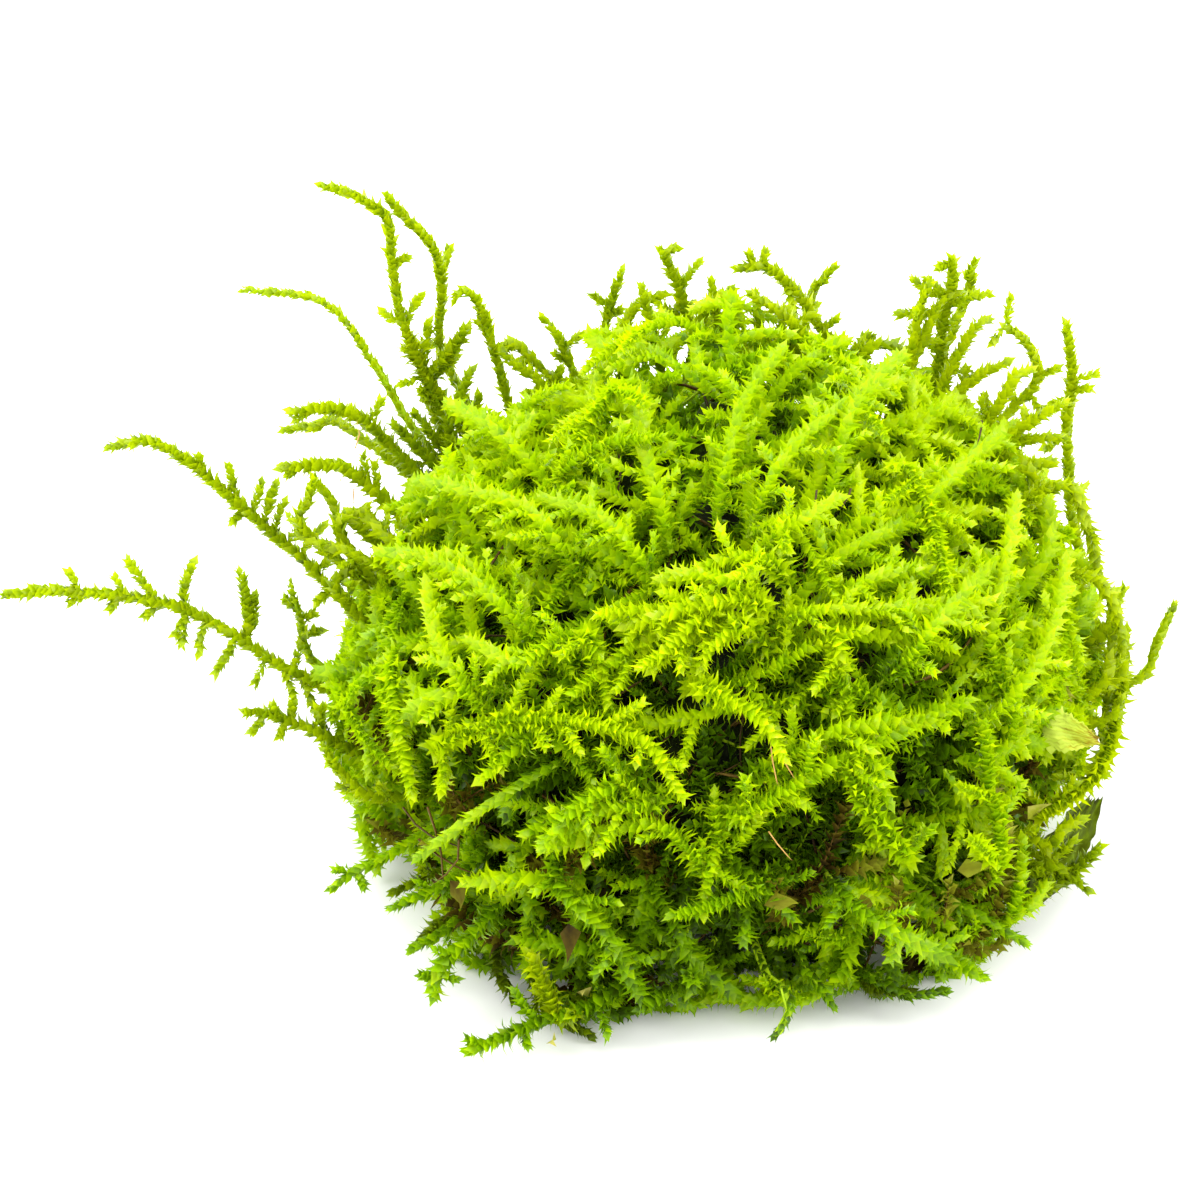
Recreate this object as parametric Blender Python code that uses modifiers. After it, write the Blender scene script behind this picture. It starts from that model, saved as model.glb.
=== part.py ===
"""Moss clump: a loose cushion of feather moss, as pulled up with its mat of old stems.

The matted old stems lie flat on the ground, the packed green shoots are one domed cushion on
top of them, and the longer shoots that leave the cushion, or lie over it, are pieces of their
own. X runs to the right, -Y is the front, and the origin is under the cushion's middle.
"""

from math import cos, floor, pi, sin

import bmesh
import bpy
from mathutils import Matrix, Vector, noise

MM = 0.001

# Driving dimensions, in millimetres.
CUSHION_RADII = Vector((22.5, 20.5, 17.5))  # half of its width, depth and height
CUSHION_LEVEL = 10.0  # height of its widest level
CUSHION_LUMP = 0.14  # how far its lumps rise and sink, as a share of its radii
LUMPS_ACROSS = 2.9  # lumps along one radius
THATCH_HEIGHT = 3.0
THATCH_RADII = (18.6, 16.8)
THATCH_WOBBLE = 1.1  # how far its rim wanders in and out
GAP = 0.3  # between neighbouring pieces
SHOOT_GAP = 0.42  # between a shoot's middle line, less its radius, and the cushion's lumps
STEP = 1.9  # between a shoot's rings
LEAFY = 1.15  # radius of a shoot with its leaves
SLIM = 0.8  # radius of a shoot with its leaves pressed close
BARE = 0.45  # radius of a shoot that has lost its leaves
TIP_SHARE = 0.35  # how much of a shoot's radius is left at its tip
BLADE = 0.3  # thickness of a dead leaf
SIDES_OF_TUBE = 1  # bevel resolution, for six sides

# The long shoots: radius, then the points that each one runs through from root to tip.
SHOOTS = {
    # reaching out to the left
    "left_long": (
        LEAFY, (-24.5, -0.5, 10), (-28.9, 1, 11.6), (-34.5, 3, 14.2), (-41.9, 3.8, 15.1),
        (-46.3, 4, 14.6),
    ),
    "left_high": (
        LEAFY, (-24.4, 7, 11.8), (-27.3, 9, 13.7), (-31.5, 11, 16.7), (-34.5, 12, 19.2),
        (-37.1, 12.6, 20.4), (-39.6, 13, 19.6),
    ),
    "left_short": (SLIM, (-25.4, 2.6, 9.3), (-26.8, 2.8, 11), (-27.2, 3, 13.4), (-27.8, 3.2, 16.2)),
    "left_low": (LEAFY, (-23.6, -5.5, 9.5), (-27.3, -5, 10.7), (-30.6, -5, 12)),
    "left_low_fork": (LEAFY, (-22.4, -9.8, 9.4), (-24.2, -9.2, 10.5), (-25.4, -8.6, 12.2)),
    "left_forked": (LEAFY, (-20.5, 13, 18.5), (-22.8, 13.6, 21), (-25, 14, 22), (-27.6, 14, 21.8)),
    "left_forked_twig": (SLIM, (-24.1, 15.6, 19), (-26, 15.8, 19.1), (-28.3, 15.6, 18.9)),
    "left_claw": (LEAFY, (-20.9, 8, 18.3), (-22.9, 9.4, 19.4), (-24.7, 10, 20.5), (-28.1, 10, 20.4)),
    "left_sprig": (SLIM, (-23.9, 5.6, 17.1), (-25, 7, 19.6), (-26.3, 7.8, 21.4)),
    # rising at the back left
    "back_whip": (BARE, (-19.6, 15.8, 19.5), (-22.4, 17, 23.2), (-25.7, 18.5, 27.2), (-31, 19, 27.9)),
    "back_tall": (
        SLIM, (-17.6, 16.4, 18.1), (-19.2, 18, 21.6), (-20.7, 19.4, 25.2), (-21.4, 20.2, 29.3),
        (-21.9, 20.4, 32.9), (-23.7, 20.2, 34.9), (-25.8, 20, 35.8),
    ),
    "back_tall_twin": (
        SLIM, (-16.5, 19.2, 18.4), (-18.2, 20, 22.4), (-18.1, 20.4, 25.9), (-18.2, 20.6, 28.5),
        (-19, 20.6, 30.8), (-20.5, 20.6, 32.7), (-21.5, 20.4, 34.5),
    ),
    "back_bent": (
        SLIM, (-13.5, 17.4, 18.7), (-14.3, 18.4, 21.5), (-15, 19, 24), (-15.6, 19, 26.6),
        (-16.5, 18.9, 27.9), (-17.2, 18.7, 27.4),
    ),
    "back_left_tip": (
        SLIM, (-8.6, 17.6, 19.6), (-9.6, 18.6, 21.5), (-10.4, 19.2, 23.5), (-11.5, 20, 24.7),
    ),
    "back_spur": (SLIM, (-7.8, 18.4, 21.5), (-7.5, 19.6, 24), (-7, 20.2, 26.2), (-6.4, 20.6, 28.2)),
    "back_crook": (LEAFY, (-1, 18.8, 22.8), (-2.1, 19.6, 25.3), (-2.9, 20.4, 27.6), (-3.8, 20.8, 29.6)),
    "back_low_left": (LEAFY, (-14.6, 19.6, 9.4), (-17.4, 22.4, 8), (-19.6, 24.4, 4.6)),
    "back_low": (LEAFY, (-4, 22.6, 9.6), (-4.6, 24.6, 8.6), (-7.4, 26.6, 5)),
    "back_low_right": (LEAFY, (6.4, 22, 9), (8.8, 24, 9.8), (12.4, 25.6, 8.2)),
    "back_creeper": (SLIM, (-7, 21.4, 4.4), (-10.4, 24, 3), (-13.4, 26, 1.8)),
    "back_creeper_right": (SLIM, (13, 18.4, 4.8), (15, 21.6, 3.2), (14.4, 24.6, 1.8)),
    # rising at the back right
    "back_plume": (
        LEAFY, (7.9, 17.4, 23.2), (6.6, 18.6, 24.9), (5.3, 19.4, 26.7), (3.9, 19.8, 28.3),
        (2.7, 20, 29), (1.2, 20, 28.8),
    ),
    "back_plume_twig": (SLIM, (5.9, 21.4, 25), (6.5, 21.6, 26.3), (7.4, 21.8, 27.5)),
    "feather": (
        LEAFY, (13.8, 14.6, 19.6), (14.1, 15.8, 23.4), (14.4, 16.8, 26.8), (15, 17.3, 29.4),
        (14.9, 17.6, 31.5),
    ),
    "feather_twig": (SLIM, (15.9, 19, 27.1), (16.1, 19.2, 28.4), (16.5, 19.4, 30)),
    "right_arc": (
        SLIM, (17.2, 13, 20.6), (19, 14.6, 21.6), (20.4, 15.4, 22.9), (20.4, 16, 24.5),
        (19.6, 16.4, 25.9), (18.4, 16.6, 26.7),
    ),
    "right_tall": (LEAFY, (24, 7.4, 12.6), (23.4, 11, 16), (22.6, 14.2, 20), (22.5, 17, 26.8)),
    "right_bow": (LEAFY, (19.2, -12.4, 9.2), (23.2, -8.6, 9.6), (26, -3.6, 9.6), (26.4, 3.6, 11.4)),
    "right_spur": (SLIM, (27.7, 1.8, 9.9), (28.1, 2.8, 11), (28.8, 4, 12.1), (29.4, 5, 13.1)),
    "right_back": (LEAFY, (22.8, 9.6, 6.4), (24.4, 13, 5.8), (24.4, 17, 3.4)),
    "right_creeper": (SLIM, (19.4, 14.4, 5.4), (20.6, 17.8, 4), (19.6, 21.4, 2)),
    # hanging and creeping at the front
    "front_left_spur": (SLIM, (-21.4, -13.6, 7.6), (-23.4, -14.2, 6.9), (-25, -15, 6)),
    "front_left_tip": (LEAFY, (-17.6, -16.6, 7.9), (-19.5, -17.4, 7.4), (-21.1, -17.8, 6.8)),
    "front_left_drop": (
        LEAFY, (-15.2, -19.3, 6.9), (-17, -20.8, 5.8), (-18.1, -21, 4.2), (-18.4, -21.6, 2.6),
    ),
    "front_left_foot": (SLIM, (-17.3, -17.8, 5.4), (-18.6, -18.8, 5.1), (-19.9, -19.5, 4.7)),
    "front_creeper": (
        LEAFY, (-5.4, -21.6, 4.6), (-8.4, -23.2, 3.4), (-11.6, -24.4, 2.4), (-16.2, -25.4, 1.3),
    ),
    "front_creeper_twig": (SLIM, (-10.5, -22, 2.9), (-11.1, -21.6, 3.9), (-11.8, -21, 5.1)),
    "front_lobe": (LEAFY, (-2, -21.8, 4.6), (-3.6, -23, 4.3), (-5.1, -23.8, 3.6)),
    "front_hook": (
        BARE, (3, -21.8, 4.3), (4.1, -23.2, 4.4), (4.3, -24, 3.6), (3.8, -24.6, 2.7),
        (3.2, -25, 2.1),
    ),
    "front_stub": (SLIM, (5.4, -20.8, 4.3), (6.3, -22, 3.6), (7.1, -22.8, 2.8)),
    "front_wet": (SLIM, (8.5, -19.4, 3.1), (10.1, -20.6, 2.9), (12, -21.2, 2.4), (14.2, -21.4, 2.9)),
    "front_right": (LEAFY, (11, -18.8, 6.2), (13.4, -19.8, 4.8), (16.6, -20.6, 3.4)),
    "front_right_tip": (SLIM, (15, -16.8, 6.4), (17.2, -17.4, 5.2), (19.4, -18, 4)),
    "right_foot": (SLIM, (20.4, -12, 6.2), (22.6, -12.6, 5.2), (24.4, -14, 4.4)),
    # lying over the cushion
    "over_crown": (LEAFY, (2.6, -13.1, 25.1), (-0.3, -13.2, 26.5), (-5.2, -16, 25.5)),
    "over_middle": (LEAFY, (-1, -16.6, 24.2), (2.3, -18.6, 23.3), (3.8, -20, 21.4)),
    "over_right": (LEAFY, (5.2, -12.5, 24.8), (11, -10.6, 25.6), (16.9, -7.5, 23.8)),
    "over_arch": (
        LEAFY, (-17.9, -13.1, 16.6), (-13, -15.8, 21), (-5.6, -18.6, 21.9), (-2.6, -20.8, 18.8),
    ),
    "over_droop": (LEAFY, (-20.9, -6.4, 18), (-20.9, -9.9, 17.4), (-19.8, -14.2, 13.2)),
    "over_low_left": (LEAFY, (-11.6, -17, 17.4), (-15, -17.6, 15.2), (-19.4, -17, 10.4)),
    "over_claw": (LEAFY, (-7.8, -21, 9.4), (-11.6, -20.6, 11.6), (-16.2, -19, 10)),
    "over_front": (LEAFY, (-1.3, -21.6, 13.8), (-4.6, -21.3, 16.8), (-11.4, -20.4, 14)),
    "over_slope": (LEAFY, (1.6, -20.8, 17.6), (7.4, -19, 20.2), (15.6, -13.5, 20.6)),
    "over_top": (LEAFY, (-3.9, -4, 28.4), (-5, 1.6, 29.2), (-5.4, 9, 28)),
}

# The side shoots that spring from a longer shoot instead of from the cushion.
FORKS = {
    "left_low_fork": "left_low",
    "left_forked_twig": "left_forked",
    "feather_twig": "feather",
    "back_plume_twig": "back_plume",
    "right_spur": "right_bow",
    "front_creeper_twig": "front_creeper",
}

# The dead leaves caught in the clump: length, width, middle, then the way that each one points and faces.
DEAD_LEAVES = {
    "dead_leaf_rim": (13.0, 4.2, (22.3, -8.8, 3.2), (0.45, 0.88, 0.12), (0.4, -0.35, 1.0)),
    "dead_leaf_fan": (5.0, 4.0, (23.0, -8.6, 13.8), (0.2, 0.3, 1.0), (0.9, -0.6, 0.2)),
}

FINISHES = {  # colour and roughness
    "moss_green": ((0.22, 0.48, 0.01), 0.55),
    "moss_lime": ((0.45, 0.72, 0.02), 0.5),
    "moss_olive": ((0.2, 0.24, 0.03), 0.6),
    "thatch_brown": ((0.14, 0.08, 0.03), 0.85),
    "leaf_tan": ((0.55, 0.42, 0.16), 0.7),
}


def clear_scene():
    for thing in list(bpy.data.objects):
        bpy.data.objects.remove(thing, do_unlink=True)


def make_finish(name):
    colour, roughness = FINISHES[name]
    finish = bpy.data.materials.new(name)
    finish.use_nodes = True
    shader = finish.node_tree.nodes["Principled BSDF"]
    shader.inputs["Base Color"].default_value = (*colour, 1.0)
    shader.inputs["Roughness"].default_value = roughness
    shader.inputs["Metallic"].default_value = 0.0
    return finish


def place(name, data, finish, clump):
    piece = bpy.data.objects.new(name, data)
    piece.data.materials.append(finish)
    clump.objects.link(piece)
    return piece


def cushion_reach(direction):
    """How far the lumpy cushion reaches this way, as a share of its plain radii."""
    return 1.0 + CUSHION_LUMP * noise.noise(direction * LUMPS_ACROSS)


def cushion_clearance(point):
    """How far a point is outside the cushion, and the way straight out from there."""
    middle = Vector((0.0, 0.0, CUSHION_LEVEL))
    share = Vector([offset / radius for offset, radius in zip(point - middle, CUSHION_RADII)])
    outward = Vector([x / radius for x, radius in zip(share, CUSHION_RADII)])
    level = share.length - cushion_reach(share.normalized())
    return level * share.length / outward.length, outward.normalized()


def make_cushion(clump, finish):
    """The packed shoots: a lumpy ball, cut level just above the mat that it sits on."""
    shape = bmesh.new()
    bmesh.ops.create_icosphere(shape, subdivisions=4, radius=1.0)
    for corner in shape.verts:
        share = corner.co * cushion_reach(corner.co.normalized())
        corner.co = Vector([x * radius for x, radius in zip(share, CUSHION_RADII)])
        corner.co.z += CUSHION_LEVEL
        corner.co *= MM
    cut = bmesh.ops.bisect_plane(
        shape,
        geom=shape.verts[:] + shape.edges[:] + shape.faces[:],
        plane_co=(0, 0, (THATCH_HEIGHT + GAP) * MM),
        plane_no=(0, 0, -1),
        clear_outer=True,
    )
    rim = [edge for edge in cut["geom_cut"] if isinstance(edge, bmesh.types.BMEdge)]
    bmesh.ops.holes_fill(shape, edges=rim)
    bmesh.ops.recalc_face_normals(shape, faces=shape.faces)
    mesh = bpy.data.meshes.new("moss_cushion")
    shape.to_mesh(mesh)
    shape.free()
    mesh.shade_smooth()
    return place("moss_cushion", mesh, finish, clump)


def make_thatch(clump, finish):
    """The matted old stems: a low slab with a wandering rim and a flat underside."""
    shape = bmesh.new()
    bmesh.ops.create_cone(
        shape,
        cap_ends=True,
        segments=44,
        radius1=1.0,
        radius2=0.93,
        depth=THATCH_HEIGHT,
        matrix=Matrix.Translation((0, 0, THATCH_HEIGHT / 2)),
    )
    for corner in shape.verts:
        bearing = Vector((corner.co.x, corner.co.y, 0)).normalized()
        wobble = THATCH_WOBBLE * noise.noise(bearing * 2.3)
        corner.co.x *= THATCH_RADII[0] + wobble
        corner.co.y *= THATCH_RADII[1] + wobble
        corner.co *= MM
    mesh = bpy.data.meshes.new("old_stem_mat")
    shape.to_mesh(mesh)
    shape.free()
    return place("old_stem_mat", mesh, finish, clump)


def spline_point(points, t):
    """A point on the smooth curve through these points, with t from 0 to 1."""
    spans = len(points) - 1
    span = min(floor(t * spans), spans - 1)
    u = t * spans - span
    before = points[span - 1] if span else 2 * points[0] - points[1]
    after = points[span + 2] if span + 2 <= spans else 2 * points[-1] - points[-2]
    start, end = points[span], points[span + 1]
    leave, arrive = (end - before) / 2, (after - start) / 2
    bend = 3 * (end - start) - 2 * leave - arrive
    curl = 2 * (start - end) + leave + arrive
    return start + leave * u + bend * u * u + curl * u * u * u


def girth_at(radius, t):
    """A shoot's radius along its length: a little narrower at its root, and tapered at its tip."""
    taper = TIP_SHARE + (1 - TIP_SHARE) * min(1.0, 2.4 * (1 - t))
    return radius * taper * (0.8 + 0.2 * min(1.0, 4 * t))


def rooted(points, radius, parent):
    """The route with its first point brought up to what it grows from, less the gap."""
    root, onward = points[0], (points[1] - points[0]).normalized()
    if parent:
        parent_radius, *parent_route = SHOOTS[parent]
        stem = [Vector(point) for point in parent_route]
        t = min((i / 40 for i in range(41)), key=lambda t: (spline_point(stem, t) - root).length)
        fork = spline_point(stem, t)
        reach = girth_at(parent_radius, t) + girth_at(radius, 0) / 2 + SHOOT_GAP
        root = fork + (root - fork).normalized() * reach
    else:
        for _ in range(6):
            clearance, outward = cushion_clearance(root)
            lean = max(0.6, (1 - min(abs(outward.dot(onward)), 1.0) ** 2) ** 0.5)
            root = root + outward * (girth_at(radius, 0) * lean + SHOOT_GAP - clearance)
    return [root, *points[1:]]


def make_shoot(name, radius, route, clump, finish):
    """One shoot with its leaves as a tapered tube that keeps clear of the cushion."""
    points = rooted([Vector(point) for point in route], radius, FORKS.get(name))
    length = sum((b - a).length for a, b in zip(points, points[1:]))
    rings = max(round(length / STEP), 4)
    curve = bpy.data.curves.new(name, "CURVE")
    curve.dimensions = "3D"
    curve.bevel_depth = MM
    curve.bevel_resolution = SIDES_OF_TUBE
    curve.use_fill_caps = True
    spline = curve.splines.new("POLY")
    spline.points.add(rings)
    for i, knot in enumerate(spline.points):
        girth = girth_at(radius, i / rings)
        centre = spline_point(points, i / rings)
        if i:
            clearance, outward = cushion_clearance(centre)
            centre += outward * max(0.0, girth + SHOOT_GAP - clearance)
        centre.z = max(centre.z, girth + GAP)
        knot.co = (*(centre * MM), 1.0)
        knot.radius = girth
    return place(f"shoot_{name}", curve, finish, clump)


def make_dead_leaf(name, length, width, middle, along, facing, clump, finish):
    """One dead leaf: a flat grid narrowed to a blade, cupped, and given its thickness."""
    shape = bmesh.new()
    bmesh.ops.create_grid(shape, x_segments=8, y_segments=2, size=0.5)
    for corner in shape.verts:
        u, v = corner.co.x + 0.5, 2 * corner.co.y
        half = 0.5 * width * (0.25 + 0.75 * sin(pi * min(u + 0.12, 1.0)))
        corner.co = Vector(((u - 0.5) * length, v * half, 0.12 * width * (1 - cos(pi * v / 2))))
        corner.co.z -= 0.1 * length * (u - 0.5) ** 2 * 4
        corner.co *= MM
    mesh = bpy.data.meshes.new(name)
    shape.to_mesh(mesh)
    shape.free()
    leaf = place(name, mesh, finish, clump)
    x = Vector(along).normalized()
    z = Vector(facing)
    z = (z - x * z.dot(x)).normalized()
    y = z.cross(x)
    leaf.matrix_world = Matrix.Translation(Vector(middle) * MM) @ Matrix((x, y, z)).transposed().to_4x4()
    skin = leaf.modifiers.new("thickness", "SOLIDIFY")
    skin.thickness = BLADE * MM
    skin.offset = 0.0
    return leaf


def main():
    clear_scene()
    clump = bpy.data.collections.new("moss clump")
    bpy.context.scene.collection.children.link(clump)
    finishes = {name: make_finish(name) for name in FINISHES}
    make_thatch(clump, finishes["thatch_brown"])
    make_cushion(clump, finishes["moss_green"])
    for name, (radius, *route) in SHOOTS.items():
        finish = finishes["moss_olive" if radius == BARE else "moss_lime"]
        make_shoot(name, radius, route, clump, finish)
    for name, shape in DEAD_LEAVES.items():
        make_dead_leaf(name, *shape, clump, finishes["leaf_tan"])


main()
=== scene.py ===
# Moss clump: the leaves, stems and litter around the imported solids
import math

import bpy
import bmesh
import numpy as np
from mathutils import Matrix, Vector, noise


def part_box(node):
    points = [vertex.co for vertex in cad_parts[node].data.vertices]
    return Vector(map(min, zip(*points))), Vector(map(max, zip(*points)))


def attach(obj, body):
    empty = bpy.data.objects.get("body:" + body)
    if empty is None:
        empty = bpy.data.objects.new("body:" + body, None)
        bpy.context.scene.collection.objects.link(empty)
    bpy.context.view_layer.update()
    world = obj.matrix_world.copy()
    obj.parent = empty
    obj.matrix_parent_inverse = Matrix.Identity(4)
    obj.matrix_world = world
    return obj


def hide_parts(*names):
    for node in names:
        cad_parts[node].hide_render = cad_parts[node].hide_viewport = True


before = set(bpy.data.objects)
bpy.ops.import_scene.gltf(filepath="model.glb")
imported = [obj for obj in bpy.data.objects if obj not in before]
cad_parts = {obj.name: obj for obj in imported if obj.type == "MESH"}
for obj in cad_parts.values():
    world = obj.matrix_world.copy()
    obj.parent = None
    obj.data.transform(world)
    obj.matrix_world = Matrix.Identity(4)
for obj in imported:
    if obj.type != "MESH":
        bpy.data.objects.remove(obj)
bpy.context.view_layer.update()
mm = 0.001
chance = np.random.default_rng(41)
goldenTurn = math.pi * (3 - math.sqrt(5))  # from one leaf to the next up a stem
floorClear = 0.3  # lowest middle line of a shoot
pace = 0.5  # spacing of the points along a shoot
seenUp = np.array([0, 0.64, 0.77])  # upwards to someone looking down on the clump from its front


# lengths are in mm from here on, and become metres when a mesh is made
def unit(v):
    return v / np.maximum(np.linalg.norm(v, axis=-1, keepdims=True), 1e-9)


def dot(a, b):
    return (a * b).sum(-1, keepdims=True)


def ease(x):
    x = np.clip(x, 0, 1)
    return x * x * (3 - 2 * x)


def boxInMm(node):
    return [np.array(corner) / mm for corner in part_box(node)]


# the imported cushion, out to its leaf tips
cushion = {
    "proud": 0.9,  # the leafy skin stands this far off the solid
    "level": 0.37,  # height of the widest level, as a share of the whole height
    "lump": 0.05,  # how uneven the skin is, as a share of its size
    "hollows": [  # dips in the skin: middle, width and depth
        ((-3.6, -16.2, 23.4), 2.3, 6), ((0.8, -19.4, 20.2), 2.2, 6), ((2.4, -20.5, 16), 2.2, 4),
        ((4.6, -17.3, 23), 1.6, 4), ((-18, -14.5, 11), 4.6, 3.4), ((10, -19, 13), 3, 4),
        ((13.6, -16, 18), 2.2, 4), ((23, -1.5, 15), 3.4, 3), ((20.5, -10.5, 9.5), 4.6, 3.6),
        ((-10.8, 14, 21.6), 2.2, 6), ((0.7, 17.2, 28.2), 1.9, 6), ((23.7, -6, 14.6), 2, 5),
        ((23.7, 0, 9.6), 2.2, 6), ((23.7, 5, 5.4), 2.2, 6), ((-24, -12, 6), 4, 1.4),
        ((-24.5, 1, 12), 4, 1.4),
    ],
    "gaps": [  # where the shoots part and old growth shows: middle and width
        ((-16.4, -13.2, 12.8), 2.9), ((-19.2, -10.8, 10.7), 1.5), ((-16.3, -16.5, 15), 2.2),
        ((-13.6, -18, 13.3), 1.6), ((-10.3, -1.2, 27.6), 1.5), ((-9.4, -10, 25.9), 1.4),
        ((-5.1, -18.8, 19.9), 1.3), ((-4.9, -21.9, 14.6), 1.7), ((-3.2, -14.3, 22.1), 1.8),
        ((0, -17.6, 19), 1.8), ((0.8, -21.5, 5.5), 2), ((-0.6, -22.6, 9.2), 1.8),
        ((3.9, -21.9, 14.2), 1.5), ((7.7, -20, 13), 1.9), ((8.8, -15.8, 24.4), 1.3),
        ((11.1, -15.5, 22.8), 1.7), ((12.6, -17.2, 19.4), 1.6), ((13.7, -14.2, 17.6), 1.8),
        ((20, -7.1, 8.8), 2.1), ((18.9, -11, 11.3), 2), ((21.4, -7.5, 6), 1.8), ((22.4, -9.5, 7), 1.6),
    ],
    "mounds": [  # where they heap up: middle, width and height
        ((1, 14, 28), 8, 4.6), ((14, 12, 22), 6, 1.4), ((-16, 13, 20), 5, 1.4),
        ((-6.5, -21, 1.5), 6, 5.2), ((7.5, -19.5, 1), 5, 3), ((14.5, -16.5, 1.5), 6, 4.4),
        ((-13, -18, 2.5), 5, 3), ((24, 2, 11), 7, 1.3),
    ],
}
low, high = boxInMm("moss_cushion")
domeTop = high[2] + cushion["proud"]
domeMiddle = np.array([(low[0] + high[0]) / 2, (low[1] + high[1]) / 2, domeTop * cushion["level"]])
domeRadii = np.array([(high[0] - low[0]) / 2, (high[1] - low[1]) / 2, domeTop - domeMiddle[2]])
domeRadii[:2] += cushion["proud"]


def domeDepth(points):
    # how far points stand outside the leafy skin, and the way out
    share = (points - domeMiddle) / domeRadii
    size = np.maximum(np.linalg.norm(share, axis=-1, keepdims=True), 1e-6)
    way = share / size
    x, y, z = way[..., 0], way[..., 1], way[..., 2]
    lumps = np.sin(5.1 * x + 2.3 * y + 1.0) + np.sin(6.3 * y - 3.1 * z + 2.0)
    lumps = lumps + np.sin(7.2 * z + 4.1 * x + 0.5) + 0.6 * np.sin(11.3 * x - 6.1 * y + 5.2 * z)
    reach = 1 + cushion["lump"] * lumps[..., None] / 2
    depth = (size - reach) * size / np.linalg.norm(share / domeRadii, axis=-1, keepdims=True)
    for sign, places in ((1, cushion["hollows"]), (-1, cushion["mounds"])):
        for middle, width, deep in places:
            near = np.linalg.norm(points - np.array(middle), axis=-1, keepdims=True)
            depth = depth + sign * deep * np.exp(-((near / width) ** 2))
    return depth[..., 0], unit(share / domeRadii)


def gapAt(points):
    # how far inside a gap points are, from 0 well clear of one to 1 in its middle
    inside = np.zeros(len(points))
    for middle, width in cushion["gaps"]:
        offset = points - np.array(middle)
        down = offset @ unit(np.array(middle) - domeMiddle)
        near = (offset**2).sum(1) - 0.8 * down**2
        inside = np.maximum(inside, np.exp(-0.7 * near / width**2))
    return inside


def clearOf(path):
    # the longest stretch of a shoot that lies outside the gaps
    clear = np.concatenate([[0], gapAt(path) < 0.5, [0]]).astype(int)
    runs = np.flatnonzero(np.diff(clear)).reshape(-1, 2)
    if not len(runs):
        return path[:0]
    first, last = runs[np.argmax(runs[:, 1] - runs[:, 0])]
    return path[first:last]


def skinPoints(ways, depth):
    # the points this deep under the skin, out from the middle in these directions
    points = domeMiddle + ways * domeRadii
    for _ in range(6):
        here, out = domeDepth(points)
        points = points + out * (depth - here)[:, None]
    return points


def evenRoute(points):
    # a smooth line through the points, with even spacing
    p = np.array(points, float)
    p = np.vstack([2 * p[0] - p[1], p, 2 * p[-1] - p[-2]])
    line = []
    for a, b, c, d in zip(p, p[1:], p[2:], p[3:]):
        u = np.linspace(0, 1, 24, endpoint=False)[:, None]
        bend = u * u * (a - 2.5 * b + 2 * c - 0.5 * d) + u**3 * 0.5 * (3 * b - a - 3 * c + d)
        line.append(b + 0.5 * u * (c - a) + bend)
    line = np.vstack(line + [p[-2:-1]])
    run = np.concatenate([[0], np.cumsum(np.linalg.norm(np.diff(line, axis=0), axis=1))])
    at = np.linspace(0, run[-1], max(int(run[-1] / pace), 3) + 1)
    return np.stack([np.interp(at, run, line[:, k]) for k in range(3)], 1)


growing = {
    "steer": 0.32,  # how hard a shoot turns back to its place, for each mm it is out
    "steepest": 0.75,
    "hold": 0.62,  # how much of its way it keeps from one point to the next
    "swing": 0.2,  # how far it wanders from side to side
}


def growPaths(starts, headings, lengths, hover, lift, curl, droop):
    # shoots feel their way along the cushion's skin: hover is how far out each one settles, and
    # lift is how far its tip leaves the skin
    pos, way = starts.copy(), unit(headings)
    steepest, hold = growing["steepest"], growing["hold"]
    counts = np.maximum((lengths / pace).astype(int), 4)
    track = [pos.copy()]
    wobble = chance.normal(0, 1, (len(pos), 2))
    for i in range(counts.max()):
        t = (i * pace / lengths)[:, None]
        depth, out = domeDepth(pos)
        goal = hover[:, None] + lift[:, None] * ease((t - 0.5) / 0.5)
        steer = np.clip((goal - depth[:, None]) * growing["steer"], -steepest, steepest)
        along = unit(way - out * dot(way, out) + 1e-4)
        sway = np.sin(i * 0.24 * (1 + 0.3 * wobble[:, :1]) + 3 * wobble[:, 1:])
        swing = curl[:, None] + growing["swing"] * sway
        along = unit(along + np.cross(out, along) * swing * pace)
        want = unit(along + out * steer)
        want[:, 2] -= droop * ease(t[:, 0])
        way = unit(hold * way + (1 - hold) * unit(want))
        pos = pos + way * pace
        lowest = floorClear + chance.uniform(0, 0.6, len(pos)) * (pos[:, 2] < 1)
        pos[:, 2] = np.maximum(pos[:, 2], lowest)
        track.append(pos.copy())
    track = np.stack(track, 1)
    return [track[i, : counts[i] + 1] for i in range(len(pos))]


def sidesOf(path):
    # the ways along, sideways and up off the cushion, at each point
    along = unit(np.gradient(path, axis=0))
    _, out = domeDepth(path)
    side = unit(np.cross(along, out + np.array([0.04, -0.07, 0.1])))
    return along, side, np.cross(side, along)


# leaf: length in mm, leaves a mm, angle off the stem in degrees, how far the tip bends back, and half
# the leaf's width. stem is its thickness. bud is the closed length at the tip, tip the size of the
# last leaves there, glow how much paler they are (below zero, a painted shade that darkens them),
# and sweep how far all lean to one side
leafy = {
    "leaf": 1.15, "perMm": 12.0, "spread": 25, "curve": 0.48, "width": 0.36, "stem": 0.24,
    "bud": 1.0, "tip": 0.8, "glow": 0.05, "sweep": 0.0,
}
# below zero, glow is a painted shade: the tips of these shoots stand clear in the light and are darkened
neat = dict(leafy, leaf=1.05, spread=23, curve=0.32, width=0.34, tip=0.75, glow=-0.07)
fine = dict(leafy, leaf=0.98, curve=0.45, glow=0.03)
slim = dict(leafy, leaf=0.92, perMm=11.0, spread=17, curve=0.16, stem=0.29, tip=0.75, glow=-0.07)
bare = dict(slim, leaf=0.74, perMm=8.5, spread=14, width=0.42, stem=0.31)
twiggy = dict(leafy, leaf=1.02, spread=27, curve=0.3, bud=0.6, tip=0.75, glow=-0.05)
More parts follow.
